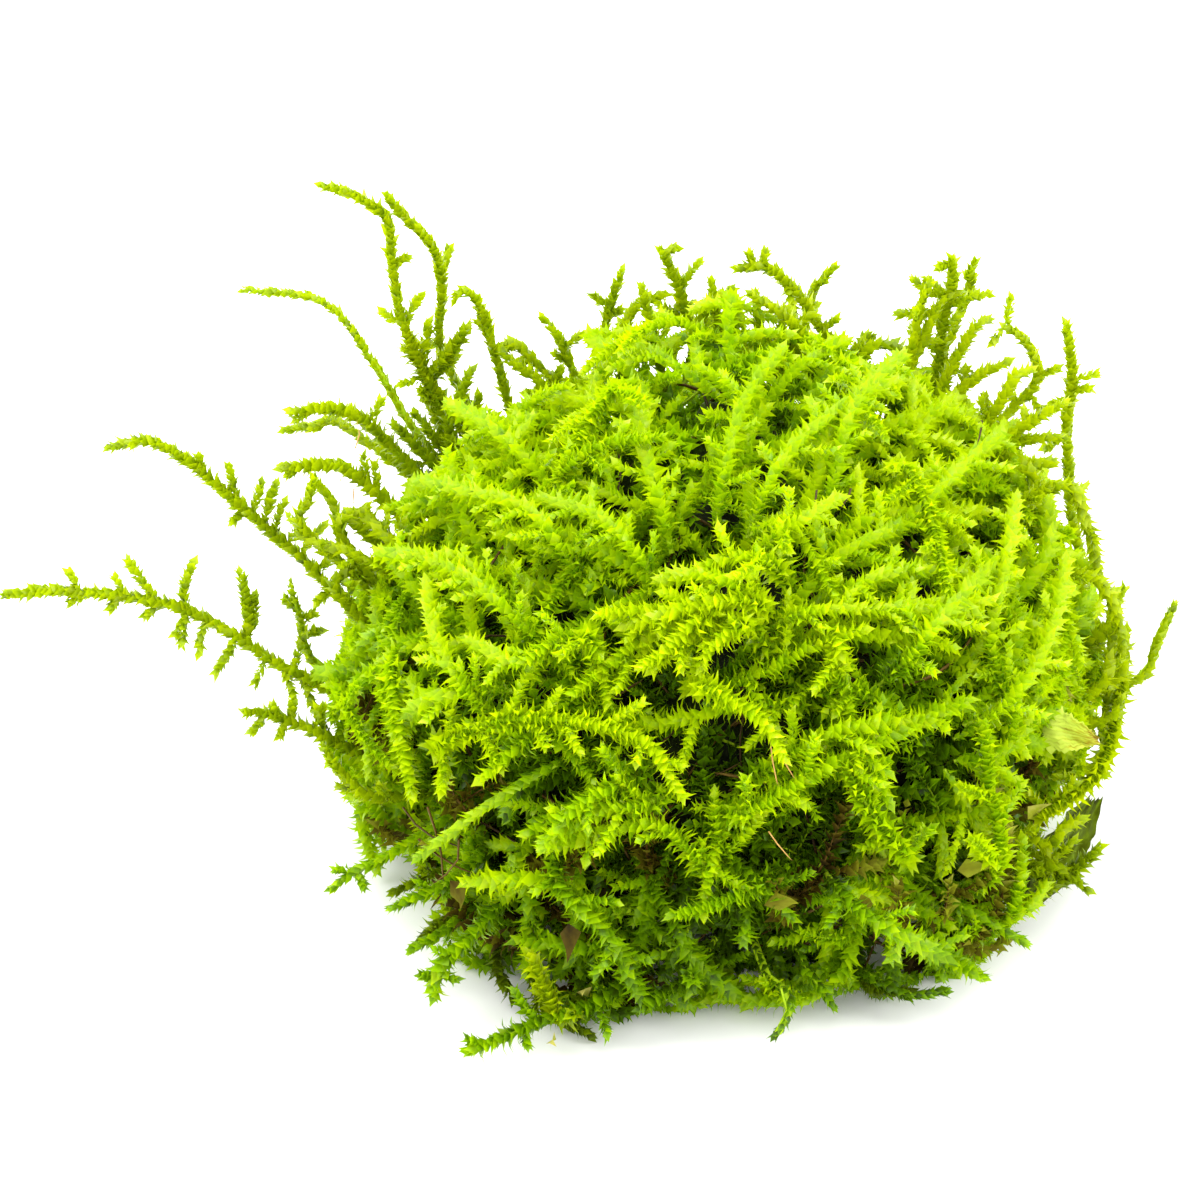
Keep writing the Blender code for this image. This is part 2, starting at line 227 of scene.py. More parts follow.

# what makes a leaf paler or darker than its shoot, for where it grows, painted light and shade among them
leafTone = {
    "outward": 0.045,  # for each mm further out: new leaves outside, old ones within
    "foot": 0.12,  # painted shade: darker near the ground, up to footTop
    "footTop": 12.0,
    "wet": 0.22,  # painted shade in the hollow at the front, darkest at its middle
    "wetMiddle": (-2.0, -22.0, 8.5),
    "frontShadeWidth": 8.5,
    "gap": 0.3,  # darker down inside a gap: partly older growth, partly painted shade
    "top": 0.06,  # painted light: paler towards the top and the right
    "right": 0.03,
    "patches": 0.08,
    "scatter": 0.08,
}


def toneAt(points, depth):
    x, y, z = points.T
    tone = leafTone["patches"] * np.sin(x * 0.31 + 1.1) * np.sin(y * 0.27 + 0.4) * np.sin(z * 0.35 + 2.0)
    tone += leafTone["outward"] * np.clip(depth, -4.5, 1.5)
    # painted shade near the ground
    tone -= leafTone["foot"] * (1 - ease(z / leafTone["footTop"]))
    # painted shade in the hollow at the front
    fromFrontShade = (points - leafTone["wetMiddle"]) / leafTone["frontShadeWidth"]
    tone -= leafTone["wet"] * np.exp(-(fromFrontShade**2).sum(1))
    # darker down inside the gaps: partly older growth, partly painted shade
    tone -= leafTone["gap"] * gapAt(points) * (depth < -0.5)
    # painted light: paler towards the top and the right
    return tone + leafTone["top"] * ease((z - 14) / 10) + leafTone["right"] * ease((x - 6) / 10)


class Bunch:  # the leaves and stems of one piece, before they become a mesh
    def __init__(self):
        self.leaves = []
        self.stems = []


def addLeaves(bunch, path, style, tone, start=0.0, deepest=-4.6):
    # start is how far up the shoot they begin, deepest how far under the skin they still grow
    along, side, up = sidesOf(path)
    length = pace * (len(path) - 1)
    n = int((length - start) * style["perMm"])
    if n < 3:
        return
    s = start + (np.arange(n) + chance.uniform(-0.3, 0.3, n)) / style["perMm"]
    s = np.clip(s, 0, length * 0.998)
    k = s / length * (len(path) - 1)
    i = np.minimum(k.astype(int), len(path) - 2)
    f = (k - i)[:, None]
    base = path[i] * (1 - f) + path[i + 1] * f
    t, across, u = (unit(a[i] * (1 - f) + a[i + 1] * f) for a in (along, side, up))
    left = length - s  # what is still to come of the shoot
    bud = ease(left / style["bud"])
    turn = np.arange(n) * goldenTurn + chance.normal(0, 0.25, n)
    ring = unit(np.cos(turn)[:, None] * across + np.sin(turn)[:, None] * u * 0.85)
    spread = np.radians(style["spread"] + chance.normal(0, 7, n)) * (0.45 + 0.55 * bud)
    d = np.cos(spread)[:, None] * t + np.sin(spread)[:, None] * ring
    d = unit(d + u * style["sweep"] * bud[:, None])
    inner = np.sin(spread)[:, None] * t - np.cos(spread)[:, None] * ring
    inner = unit(inner - d * dot(inner, d))
    size = style["leaf"] * (style["tip"] + (1 - style["tip"]) * ease(left / 3.0))
    size *= (0.75 + 0.25 * ease(s / 1.5)) * chance.normal(1, 0.12, n)
    curve = style["curve"] * (0.3 + 0.7 * bud) * chance.normal(1, 0.25, n)
    base = base + ring * style["stem"] * 0.6
    depth, out = domeDepth(base)
    # glow above zero pales the new tips; below zero it is a painted shade that darkens them
    here = tone + style["glow"] * (1 - ease(left / 4.0)) + chance.normal(0, leafTone["scatter"], n)
    here = here + toneAt(base, depth)
    facing = (depth > -0.8) | (dot(ring, out)[:, 0] > -0.45)  # deep in, none on a stem's hidden side
    seen = (depth > deepest) & facing
    width = np.full(n, style["width"]) * chance.normal(1, 0.08, n)
    bunch.leaves.append(tuple(part[seen] for part in (base, d, inner, size, curve, here, width)))


def addStem(bunch, path, radius, tone, taper=0.75):
    bunch.stems.append((path, radius, tone, taper))


# meshes. Every leaf and stem lies in one cell of a map of 8 by 8, by its tone and its kind
atlas = 8
leafShape = {
    # a leaf's corners: how far up it, how far across, and how far the edge rises
    "corners": [
        (0.0, 0.0, 0.0), (0.35, -1.0, 0.45), (0.35, 0.0, 0.0), (0.35, 1.0, 0.45),
        (0.7, -0.36, 0.1), (0.7, 0.36, 0.1), (1.0, 0.0, 0.0),
    ],
    "faces": [(0, 2, 1), (0, 3, 2), (1, 2, 4), (2, 5, 4), (2, 3, 5), (4, 5, 6)],
}
plainLeafShape = {  # for those deep inside
    "corners": [(0.0, 0.0, 0.0), (0.35, -1.0, 0.5), (0.35, 0.0, 0.0), (0.35, 1.0, 0.5), (1.0, 0.0, 0.0)],
    "faces": [(0, 2, 1), (0, 3, 2), (1, 2, 4), (2, 3, 4)],
}


def leafArrays(bunch, shape):
    base, d, inner, size, curve, tone, width = (np.concatenate(part) for part in zip(*bunch.leaves))
    n = len(base)
    w = np.cross(d, inner)
    column = np.clip(np.floor(tone * atlas), 0, atlas - 1)
    kind = chance.integers(1, atlas, n)
    twist = chance.normal(0, 0.15, n)
    rows, spots = [], []
    for end, x, rise in shape["corners"]:
        back = curve * end**3  # the tip bends back, away from the stem
        mid = base + d * (size * end * (1 - 0.35 * back**2 * end))[:, None]
        mid = mid - inner * (size * back)[:, None]
        reach = size * width * x
        rows.append(mid + w * reach[:, None] + inner * (rise * size * width + twist * reach)[:, None])
        wide = x if abs(x) > 0.5 or end > 0.5 else 0
        spot = [(column + 0.5 + 0.44 * wide) / atlas, (kind + 0.05 + 0.9 * end) / atlas]
        spots.append(np.stack(spot, 1))
    points = np.stack(rows, 1).reshape(-1, 3)
    spots = np.stack(spots, 1)
    faces = np.array(shape["faces"])
    shift = np.arange(n)[:, None, None] * len(rows)
    return points, (faces[None] + shift).reshape(-1, 3), spots[:, faces].reshape(-1, 2)


def stemArrays(bunch):
    points, quads, spots = [], [], []
    sides = 3
    start = 0
    for path, radius, tone, taper in bunch.stems:
        every = 3 if len(path) > 8 else 2
        line = np.vstack([path[:-1:every], path[-1:]])
        along, side, up = sidesOf(line)
        rows = len(line)
        thick = radius * (1 - taper * np.linspace(0, 1, rows) ** 1.5)
        thick[-1] = radius * 0.06
        turn = np.arange(sides) * 2 * math.pi / sides
        ring = np.cos(turn)[None, :, None] * side[:, None] + np.sin(turn)[None, :, None] * up[:, None]
        points.append((line[:, None] + ring * thick[:, None, None]).reshape(-1, 3))
        i, j = (k.ravel() for k in np.meshgrid(np.arange(rows - 1), np.arange(sides), indexing="ij"))
        nextJ = (j + 1) % sides
        a, b = i * sides, (i + 1) * sides
        quads.append(np.stack([a + j, a + nextJ, b + nextJ, b + j], 1) + start)
        column = min(max(int(tone * atlas), 0), atlas - 1)
        u = (column + 0.1 + 0.8 * np.stack([j, j + 1, j + 1, j], 1) / sides) / atlas
        v = (0.06 + 0.88 * np.stack([i, i, i + 1, i + 1], 1) / (rows - 1)) / atlas
        spots.append(np.stack([u, v], 2).reshape(-1, 2))
        start += rows * sides
    return np.vstack(points), np.vstack(quads), np.vstack(spots)


def linkMesh(name, mesh, finishes, replaced):
    mesh.shade_smooth()
    piece = bpy.data.objects.new(name, mesh)
    bpy.context.scene.collection.objects.link(piece)
    for finish in finishes:
        mesh.materials.append(finish)
    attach(piece, "root")
    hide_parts(*replaced)


pressed = 0.4  # mm above the ground: leaves that reach lower than this bend flat


def meshFrom(name, groups):
    # groups of points, faces, places on the map, and which material they take
    mesh = bpy.data.meshes.new(name)
    points = np.vstack([g[0] for g in groups])
    sunk = points[:, 2] < pressed
    points[sunk, 2] = pressed * np.exp(points[sunk, 2] / pressed - 1)
    mesh.vertices.add(len(points))
    mesh.vertices.foreach_set("co", (points * mm).astype(np.float32).ravel())
    corners, starts, materials, shift, at = [], [], [], 0, 0
    for pts, faces, _, material in groups:
        corners.append((faces + shift).ravel())
        starts.append(at + np.arange(len(faces)) * faces.shape[1])
        materials.append(np.full(len(faces), material))
        at += faces.size
        shift += len(pts)
    corners, starts = np.concatenate(corners), np.concatenate(starts)
    mesh.loops.add(len(corners))
    mesh.loops.foreach_set("vertex_index", corners.astype(np.int32))
    mesh.polygons.add(len(starts))
    mesh.polygons.foreach_set("loop_start", starts.astype(np.int32))
    mesh.polygons.foreach_set("material_index", np.concatenate(materials).astype(np.int32))
    layer = mesh.uv_layers.new(name="OFBake")
    layer.uv.foreach_set("vector", np.vstack([g[2] for g in groups]).astype(np.float32).ravel())
    mesh.update(calc_edges=True)
    mesh.validate()
    return mesh


def makePiece(name, bunch, finishes, replaced, shape=leafShape):
    groups = []
    if bunch.leaves:
        groups.append((*leafArrays(bunch, shape), 0))
    if bunch.stems:
        groups.append((*stemArrays(bunch), 1))
    linkMesh(name, meshFrom(name, groups), finishes, replaced)


# finishes
class Nodes:
    def __init__(self, name):
        self.material = bpy.data.materials.new(name)
        self.material.use_nodes = True
        self.tree = self.material.node_tree
        self.tree.nodes.clear()

    def add(self, kind, **settings):
        node = self.tree.nodes.new(kind)
        for key, value in settings.items():
            setattr(node, key, value)
        return node

    def join(self, a, b):
        self.tree.links.new(a, b)

    def math(self, operation, a, b=None, clamp=False):
        node = self.add("ShaderNodeMath", operation=operation, use_clamp=clamp)
        for socket, value in zip(node.inputs, (a, b)):
            if value is None:
                continue
            if isinstance(value, (int, float)):
                socket.default_value = value
            else:
                self.join(value, socket)
        return node.outputs[0]

    def around(self, value, middle, strength):
        # how far a value is from a middle one, times a strength
        return self.math("MULTIPLY", self.math("SUBTRACT", value, middle), strength)

    def total(self, value, *others):
        for other in others:
            value = self.math("ADD", value, other)
        return value

    def mapPlace(self):
        # where on its map the leaf or stem lies, across and up
        spot = self.add("ShaderNodeUVMap", uv_map="OFBake")
        split = self.add("ShaderNodeSeparateXYZ")
        self.join(spot.outputs[0], split.inputs[0])
        return spot.outputs[0], split.outputs[0], split.outputs[1]

    def noise(self, where, scale, detail=3.0):
        node = self.add("ShaderNodeTexNoise")
        node.inputs["Scale"].default_value = scale
        node.inputs["Detail"].default_value = detail
        self.join(where, node.inputs["Vector"])
        return node.outputs[0]

    def objectPlace(self):
        return self.add("ShaderNodeTexCoord").outputs["Object"]

    def ramp(self, factor, stops):
        node = self.add("ShaderNodeValToRGB")
        while len(node.color_ramp.elements) < len(stops):
            node.color_ramp.elements.new(0.5)
        for element, (at, colour) in zip(node.color_ramp.elements, stops):
            element.position = at
            element.color = (*colour, 1)
        self.join(factor, node.inputs[0])
        return node.outputs[0]

    def shader(self, colour, roughness, specular=0.5, through=0.0):
        # through is the share of the light that comes out on the other side
        body = self.add("ShaderNodeBsdfPrincipled")
        self.join(colour, body.inputs["Base Color"])
        body.inputs["Roughness"].default_value = roughness
        body.inputs["Specular IOR Level"].default_value = specular
        if not through:
            return body.outputs[0], body
        glow = self.add("ShaderNodeBsdfTranslucent")
        self.join(colour, glow.inputs["Color"])
        mix = self.add("ShaderNodeMixShader")
        mix.inputs[0].default_value = through
        self.join(body.outputs[0], mix.inputs[1])
        self.join(glow.outputs[0], mix.inputs[2])
        return mix.outputs[0], body

    def bump(self, height, body, strength, distance):
        node = self.add("ShaderNodeBump")
        node.inputs["Strength"].default_value = strength
        node.inputs["Distance"].default_value = distance
        self.join(height, node.inputs["Height"])
        self.join(node.outputs[0], body.inputs["Normal"])

    def finish(self, shader):
        out = self.add("ShaderNodeOutputMaterial")
        self.join(shader, out.inputs["Surface"])
        return self.material


leafLook = {
    "stops": [  # from the old leaves deep inside to the new ones at the tips
        (0.0, (0.045, 0.085, 0.002)), (0.14, (0.095, 0.205, 0.001)), (0.34, (0.232, 0.430, 0.001)),
        (0.55, (0.388, 0.592, 0.001)), (0.76, (0.500, 0.665, 0.001)), (1.0, (0.580, 0.725, 0.002)),
    ],
    "edge": 0.42,  # how much paler the edges are than the fold: their own paler margin and a painted highlight
    "tip": 0.26,  # and the tip than the foot, also partly painted highlight
    "mottle": 0.3,
    "mottleScale": 46,
    "kinds": 0.1,  # how far one leaf differs from the next
    "through": 0.5,
    "roughness": 0.32,
    "specular": 0.28,
}
edgeLeafShadeLook = dict(  # shoots that stand clear against the light: the leaf colours with painted light and shade, highlights held down, darks lifted and a little more yellow
    leafLook,
    stops=[
        (0.0, (0.060, 0.085, 0.002)), (0.14, (0.120, 0.185, 0.001)), (0.34, (0.270, 0.390, 0.001)),
        (0.55, (0.400, 0.515, 0.001)), (0.76, (0.490, 0.590, 0.001)), (1.0, (0.570, 0.650, 0.002)),
    ],
)
oldLeafLook = dict(
    leafLook,
    stops=[
        (0.0, (0.020, 0.012, 0.002)), (0.3, (0.082, 0.058, 0.004)), (0.55, (0.160, 0.155, 0.006)),
        (0.8, (0.270, 0.300, 0.012)), (1.0, (0.460, 0.420, 0.090)),
    ],
    through=0.35,
    roughness=0.6,
    specular=0.1,
)


def makeLeafFinish(name, look):
    n = Nodes(name)
    place, across, upward = n.mapPlace()
    x, y = n.math("MULTIPLY", across, atlas), n.math("MULTIPLY", upward, atlas)
    edge = n.math("ABSOLUTE", n.math("SUBTRACT", n.math("FRACT", x), 0.5))
    kind = n.math("FRACT", n.math("MULTIPLY", n.math("FLOOR", y), 0.618))
    tone = n.total(
        n.math("MULTIPLY", n.math("ADD", n.math("FLOOR", x), 0.5), 1 / atlas),
        # paler edges and tips: partly the leaves' own colour, partly painted highlight
        n.around(edge, 0.18, look["edge"]),
        n.around(n.math("FRACT", y), 0.35, look["tip"]),
        n.around(n.noise(place, look["mottleScale"]), 0.5, look["mottle"]),
        n.around(kind, 0.5, look["kinds"]),
    )
    colour = n.ramp(n.math("MAXIMUM", tone, 0.0), look["stops"])
    return n.finish(n.shader(colour, look["roughness"], look["specular"], look["through"])[0])


stemLook = {
    "streaks": 0.22,
    "streakScale": 70,
    "roughness": 0.55,
    "specular": 0.15,
    "green": [
        (0.0, (0.035, 0.016, 0.006)), (0.3, (0.110, 0.060, 0.010)), (0.55, (0.170, 0.240, 0.008)),
        (1.0, (0.420, 0.640, 0.008)),
    ],
    "old": [
        (0.0, (0.016, 0.008, 0.003)), (0.3, (0.080, 0.045, 0.006)), (0.55, (0.210, 0.125, 0.016)),
        (0.8, (0.480, 0.210, 0.030)), (1.0, (0.620, 0.500, 0.200)),
    ],
}


def makeStemFinish(name, stops):
    n = Nodes(name)
    place, across, _ = n.mapPlace()
    column = n.math("MULTIPLY", n.math("FLOOR", n.math("MULTIPLY", across, atlas)), 1 / atlas)
    streaks = n.math("MULTIPLY", n.noise(place, stemLook["streakScale"]), stemLook["streaks"])
    colour = n.ramp(n.math("ADD", column, streaks, clamp=True), stops)
    return n.finish(n.shader(colour, stemLook["roughness"], stemLook["specular"])[0])


greenStem = makeStemFinish("moss stem", stemLook["green"])
mossFinishes = (makeLeafFinish("moss leaf", leafLook), greenStem)
# painted light and shade: the leaf colours for shoots that stand clear against the light
edgeShadeFinishes = (makeLeafFinish("edge moss leaf with painted shade", edgeLeafShadeLook), greenStem)
oldFinishes = (makeLeafFinish("old moss leaf", oldLeafLook), makeStemFinish("old stem", stemLook["old"]))
print("finishes ready")


# the long shoots: how leafy, how pale, how long their own side shoots grow, and the solid's route
longShoots = {
    "left_long": (
        neat, 0.4, 2.6, (-24.5, -0.5, 10), (-28.9, 1, 11.6), (-34.5, 3, 14.2), (-41.9, 3.8, 15.1),
        (-46.3, 4, 14.6),
    ),
    "left_high": (
        neat, 0.4, 2, (-24.4, 7, 11.8), (-27.3, 9, 13.7), (-31.5, 11, 16.7), (-34.5, 12, 19.2),
        (-37.1, 12.6, 20.4), (-39.6, 13, 19.6),
    ),
    "left_short": (
        bare, 0.4, 0, (-25.4, 2.6, 9.3), (-26.8, 2.8, 11), (-27.2, 3, 13.4), (-27.8, 3.2, 16.2),
    ),
    "left_low": (neat, 0.4, 1.6, (-23.6, -5.5, 9.5), (-27, -5, 11.2), (-29.8, -5, 12.4)),
    "left_low_fork": (neat, 0.4, 1.2, (-22.4, -9.8, 9.4), (-24.2, -9.2, 10.5), (-25.4, -8.6, 12.2)),
    "left_forked": (
        leafy, 0.4, 1.6, (-20.5, 13, 18.5), (-22.8, 13.6, 21), (-25, 14, 22), (-27.6, 14, 21.8),
    ),
    "left_forked_twig": (slim, 0.4, 0, (-24.1, 15.6, 19), (-26, 15.8, 19.1), (-28.3, 15.6, 18.9)),
    "left_claw": (
        leafy, 0.4, 1.6, (-20.9, 8, 18.3), (-22.9, 9.4, 19.4), (-24.7, 10, 20.5), (-28.1, 10, 20.4),
    ),
    "left_sprig": (slim, 0.4, 0, (-23.9, 5.6, 17.1), (-25, 7, 19.6), (-26.3, 7.8, 21.4)),
    "back_whip": (
        bare, 0.4, 0, (-20.1, 15.8, 19.2), (-22.4, 17, 23.2), (-25.7, 18.5, 27.2), (-31, 19, 27.9),
    ),
    "back_tall": (
        slim, 0.4, 0, (-17.6, 16.4, 18.1), (-19.2, 18, 21.6), (-20.7, 19.4, 25.2), (-21.3, 20.2, 29.3),
        (-21.6, 20.4, 32.6), (-23.7, 20.2, 34.7), (-25.7, 20, 35.7),
    ),
    "back_tall_twin": (
        slim, 0.4, 0, (-16.5, 19.2, 18.4), (-18.2, 20, 22.4), (-18.1, 20.4, 25.9), (-18.2, 20.6, 28.5),
        (-19, 20.6, 30.8), (-20.5, 20.6, 32.7), (-21.5, 20.4, 34.5),
    ),
    "back_bent": (
        slim, 0.4, 1.4, (-13.5, 17.4, 18.7), (-14.3, 18.4, 21.5), (-15, 19, 24), (-15.6, 19, 26.6),
        (-16.5, 18.9, 27.9), (-17.2, 18.7, 27.4),
    ),
    "back_left_tip": (
        slim, 0.4, 1.4, (-8.6, 17.6, 19.6), (-9.6, 18.6, 21.5), (-10.4, 19.2, 23.5), (-11.5, 20, 24.7),
    ),
    "back_spur": (
        slim, 0.4, 0, (-7.8, 18.4, 21.5), (-7.5, 19.6, 24), (-7, 20.2, 26.2), (-6.4, 20.6, 28.2),
    ),
    "back_crook": (
        neat, 0.4, 1, (-1, 18.8, 22.8), (-2.1, 19.6, 25.3), (-2.9, 20.4, 27.6), (-3.8, 20.8, 29.6),
    ),
    "back_low_left": (leafy, 0.4, 1.8, (-14.6, 19.6, 9.4), (-17.4, 22.4, 8), (-19.6, 24.4, 4.6)),
    "back_low": (leafy, 0.4, 1.8, (-4, 22.6, 9.6), (-4.6, 24.6, 8.6), (-7.4, 26.6, 5)),
    "back_low_right": (leafy, 0.4, 1.8, (6.4, 22, 9), (8.8, 24, 9.8), (12.4, 25.6, 8.2)),
    "back_creeper": (slim, 0.4, 1.2, (-7, 21.4, 4.4), (-10.4, 24, 3), (-13.4, 26, 1.8)),
    "back_creeper_right": (slim, 0.4, 1.2, (13, 18.4, 4.8), (15, 21.6, 3.2), (14.4, 24.6, 1.8)),
    "back_plume": (
        neat, 0.4, 1.6, (7.9, 17.4, 23.2), (6.6, 18.6, 24.9), (5.3, 19.4, 26.7), (3.9, 19.8, 28.3),
        (2.7, 20, 29), (1.2, 20, 28.8),
    ),
    "back_plume_twig": (slim, 0.4, 0.8, (5.9, 21.4, 25), (6.5, 21.6, 26.3), (7.4, 21.8, 27.5)),
    "feather": (
        neat, 0.4, 2.4, (13.8, 14.6, 19.6), (14.1, 15.8, 23.4), (14.4, 16.8, 26.8), (15, 17.3, 29.4),
        (14.9, 17.6, 31.5),
    ),
    "feather_twig": (slim, 0.4, 0.8, (15.9, 19, 27.1), (16.1, 19.2, 28.4), (16.5, 19.4, 30)),
    "right_arc": (
        slim, 0.4, 1.8, (17.2, 13, 20.6), (19, 14.6, 21.6), (20.4, 15.4, 22.9), (20.4, 16, 24.5),
        (19.6, 16.4, 25.9), (18.4, 16.6, 26.7),
    ),
    "right_tall": (
        neat, 0.42, 0, (23.4, 7.4, 12.6), (22.8, 11, 16), (22.5, 14.2, 20), (22.8, 15.8, 23.6),
        (22.4, 17, 26.6),
    ),
    "right_bow": (
        leafy, 0.42, 1.2, (25.8, 3.4, 11.4), (25.2, -3.6, 9.6), (23.8, -8, 9.3), (20.4, -11.8, 9.3),
    ),
    "right_spur": (slim, 0.4, 0, (26.9, 1.4, 9.6), (28.1, 2.8, 11), (28.8, 4, 12.1), (29.4, 5, 13.1)),
    "right_back": (neat, 0.4, 1.8, (22.8, 9.6, 6.4), (24.4, 13, 5.8), (24.4, 17, 3.4)),
    "right_creeper": (slim, 0.4, 1.2, (19.4, 14.4, 5.4), (20.6, 17.8, 4), (19.6, 21.4, 2)),
    "front_left_spur": (slim, 0.4, 0.8, (-21.4, -13.6, 7.6), (-23.4, -14.2, 6.9), (-25, -15, 6)),
    "front_left_tip": (neat, 0.4, 0.8, (-17.6, -16.6, 7.9), (-19.5, -17.4, 7.4), (-21.1, -17.8, 6.8)),
    "front_left_drop": (
        leafy, 0.4, 1.2, (-15.2, -19.3, 6.9), (-17, -20.8, 5.8), (-18.1, -21, 4.2), (-18.4, -21.6, 2.6),
    ),
    "front_left_foot": (slim, 0.4, 1.2, (-17.3, -17.8, 5.4), (-18.6, -18.8, 5.1), (-19.9, -19.5, 4.7)),
    "front_creeper": (
        leafy, 0.42, 2.2, (-5.4, -21.6, 4.6), (-8.4, -23.2, 3.4), (-11.6, -24.1, 2.7), (-14.2, -25, 2),
        (-16.2, -25.4, 1.3),
    ),
    "front_creeper_twig": (slim, 0.4, 0, (-10.5, -22, 2.9), (-11.1, -21.6, 3.9), (-11.8, -21, 5.1)),
    "front_lobe": (leafy, 0.4, 1.6, (-2, -21.8, 4.6), (-3.6, -23, 4.3), (-5.1, -23.8, 3.6)),
    "front_hook": (
        bare, 0.3, 0, (3, -21.8, 4.3), (4.1, -23.2, 4.4), (4.3, -24, 3.6), (3.8, -24.6, 2.7),
        (3.2, -25, 2.1),
    ),
    "front_stub": (slim, 0.4, 0, (5.4, -20.8, 4.3), (6.3, -22, 3.6), (7.1, -22.8, 2.8)),
    "front_wet": (
        slim, 0.25, 0.8, (8.5, -19.4, 3.1), (10.1, -20.6, 2.9), (12, -21.2, 2.4), (14.2, -21.4, 2.9),
    ),
    "front_right": (leafy, 0.4, 1, (11, -18.8, 6.2), (13.4, -19.8, 4.8), (16.6, -20.6, 3.4)),
    "front_right_tip": (slim, 0.4, 0.8, (15, -16.8, 6.4), (17.2, -17.4, 5.2), (19.4, -18, 4)),
    "right_foot": (slim, 0.35, 0.8, (20.4, -12, 6.2), (22.2, -12.6, 5.2), (23.6, -13.6, 4.6)),
    "over_crown": (leafy, 0.78, 1.8, (2.6, -13.1, 25.1), (-0.3, -13.2, 26.5), (-5.2, -16, 25.5)),
    "over_middle": (leafy, 0.76, 0, (-1, -16.6, 24.2), (2.3, -18.6, 23.3), (3.8, -20, 21.4)),
    "over_right": (leafy, 0.7, 2, (5.2, -12.5, 24.8), (11, -10.6, 25.6), (16.9, -7.5, 23.8)),
    "over_arch": (
        leafy, 0.72, 2.4, (-17.9, -13.1, 16.6), (-13, -15.8, 21), (-5.6, -18.6, 21.9),
        (-2.6, -20.8, 18.8),
    ),
    "over_droop": (leafy, 0.65, 0, (-20.9, -6.4, 18), (-20.9, -9.9, 17.4), (-19.8, -14.2, 13.2)),
    "over_low_left": (slim, 0.5, 0, (-11.6, -17, 17.4), (-15, -17.6, 15.2), (-19.4, -17, 10.4)),
    "over_claw": (leafy, 0.6, 0, (-7.8, -21, 9.4), (-11.6, -20.6, 11.6), (-16.2, -19, 10)),
    "over_front": (leafy, 0.7, 1.6, (-1.3, -21.6, 13.8), (-4.6, -21.3, 16.8), (-11.4, -20.4, 14)),
    "over_slope": (leafy, 0.5, 1.8, (1.6, -20.8, 17.6), (7.4, -19, 20.2), (15.6, -13.5, 20.6)),
    "over_top": (leafy, 0.55, 1.6, (-3.9, -4, 28.4), (-5, 1.6, 29.2), (-5.4, 9, 28)),
}

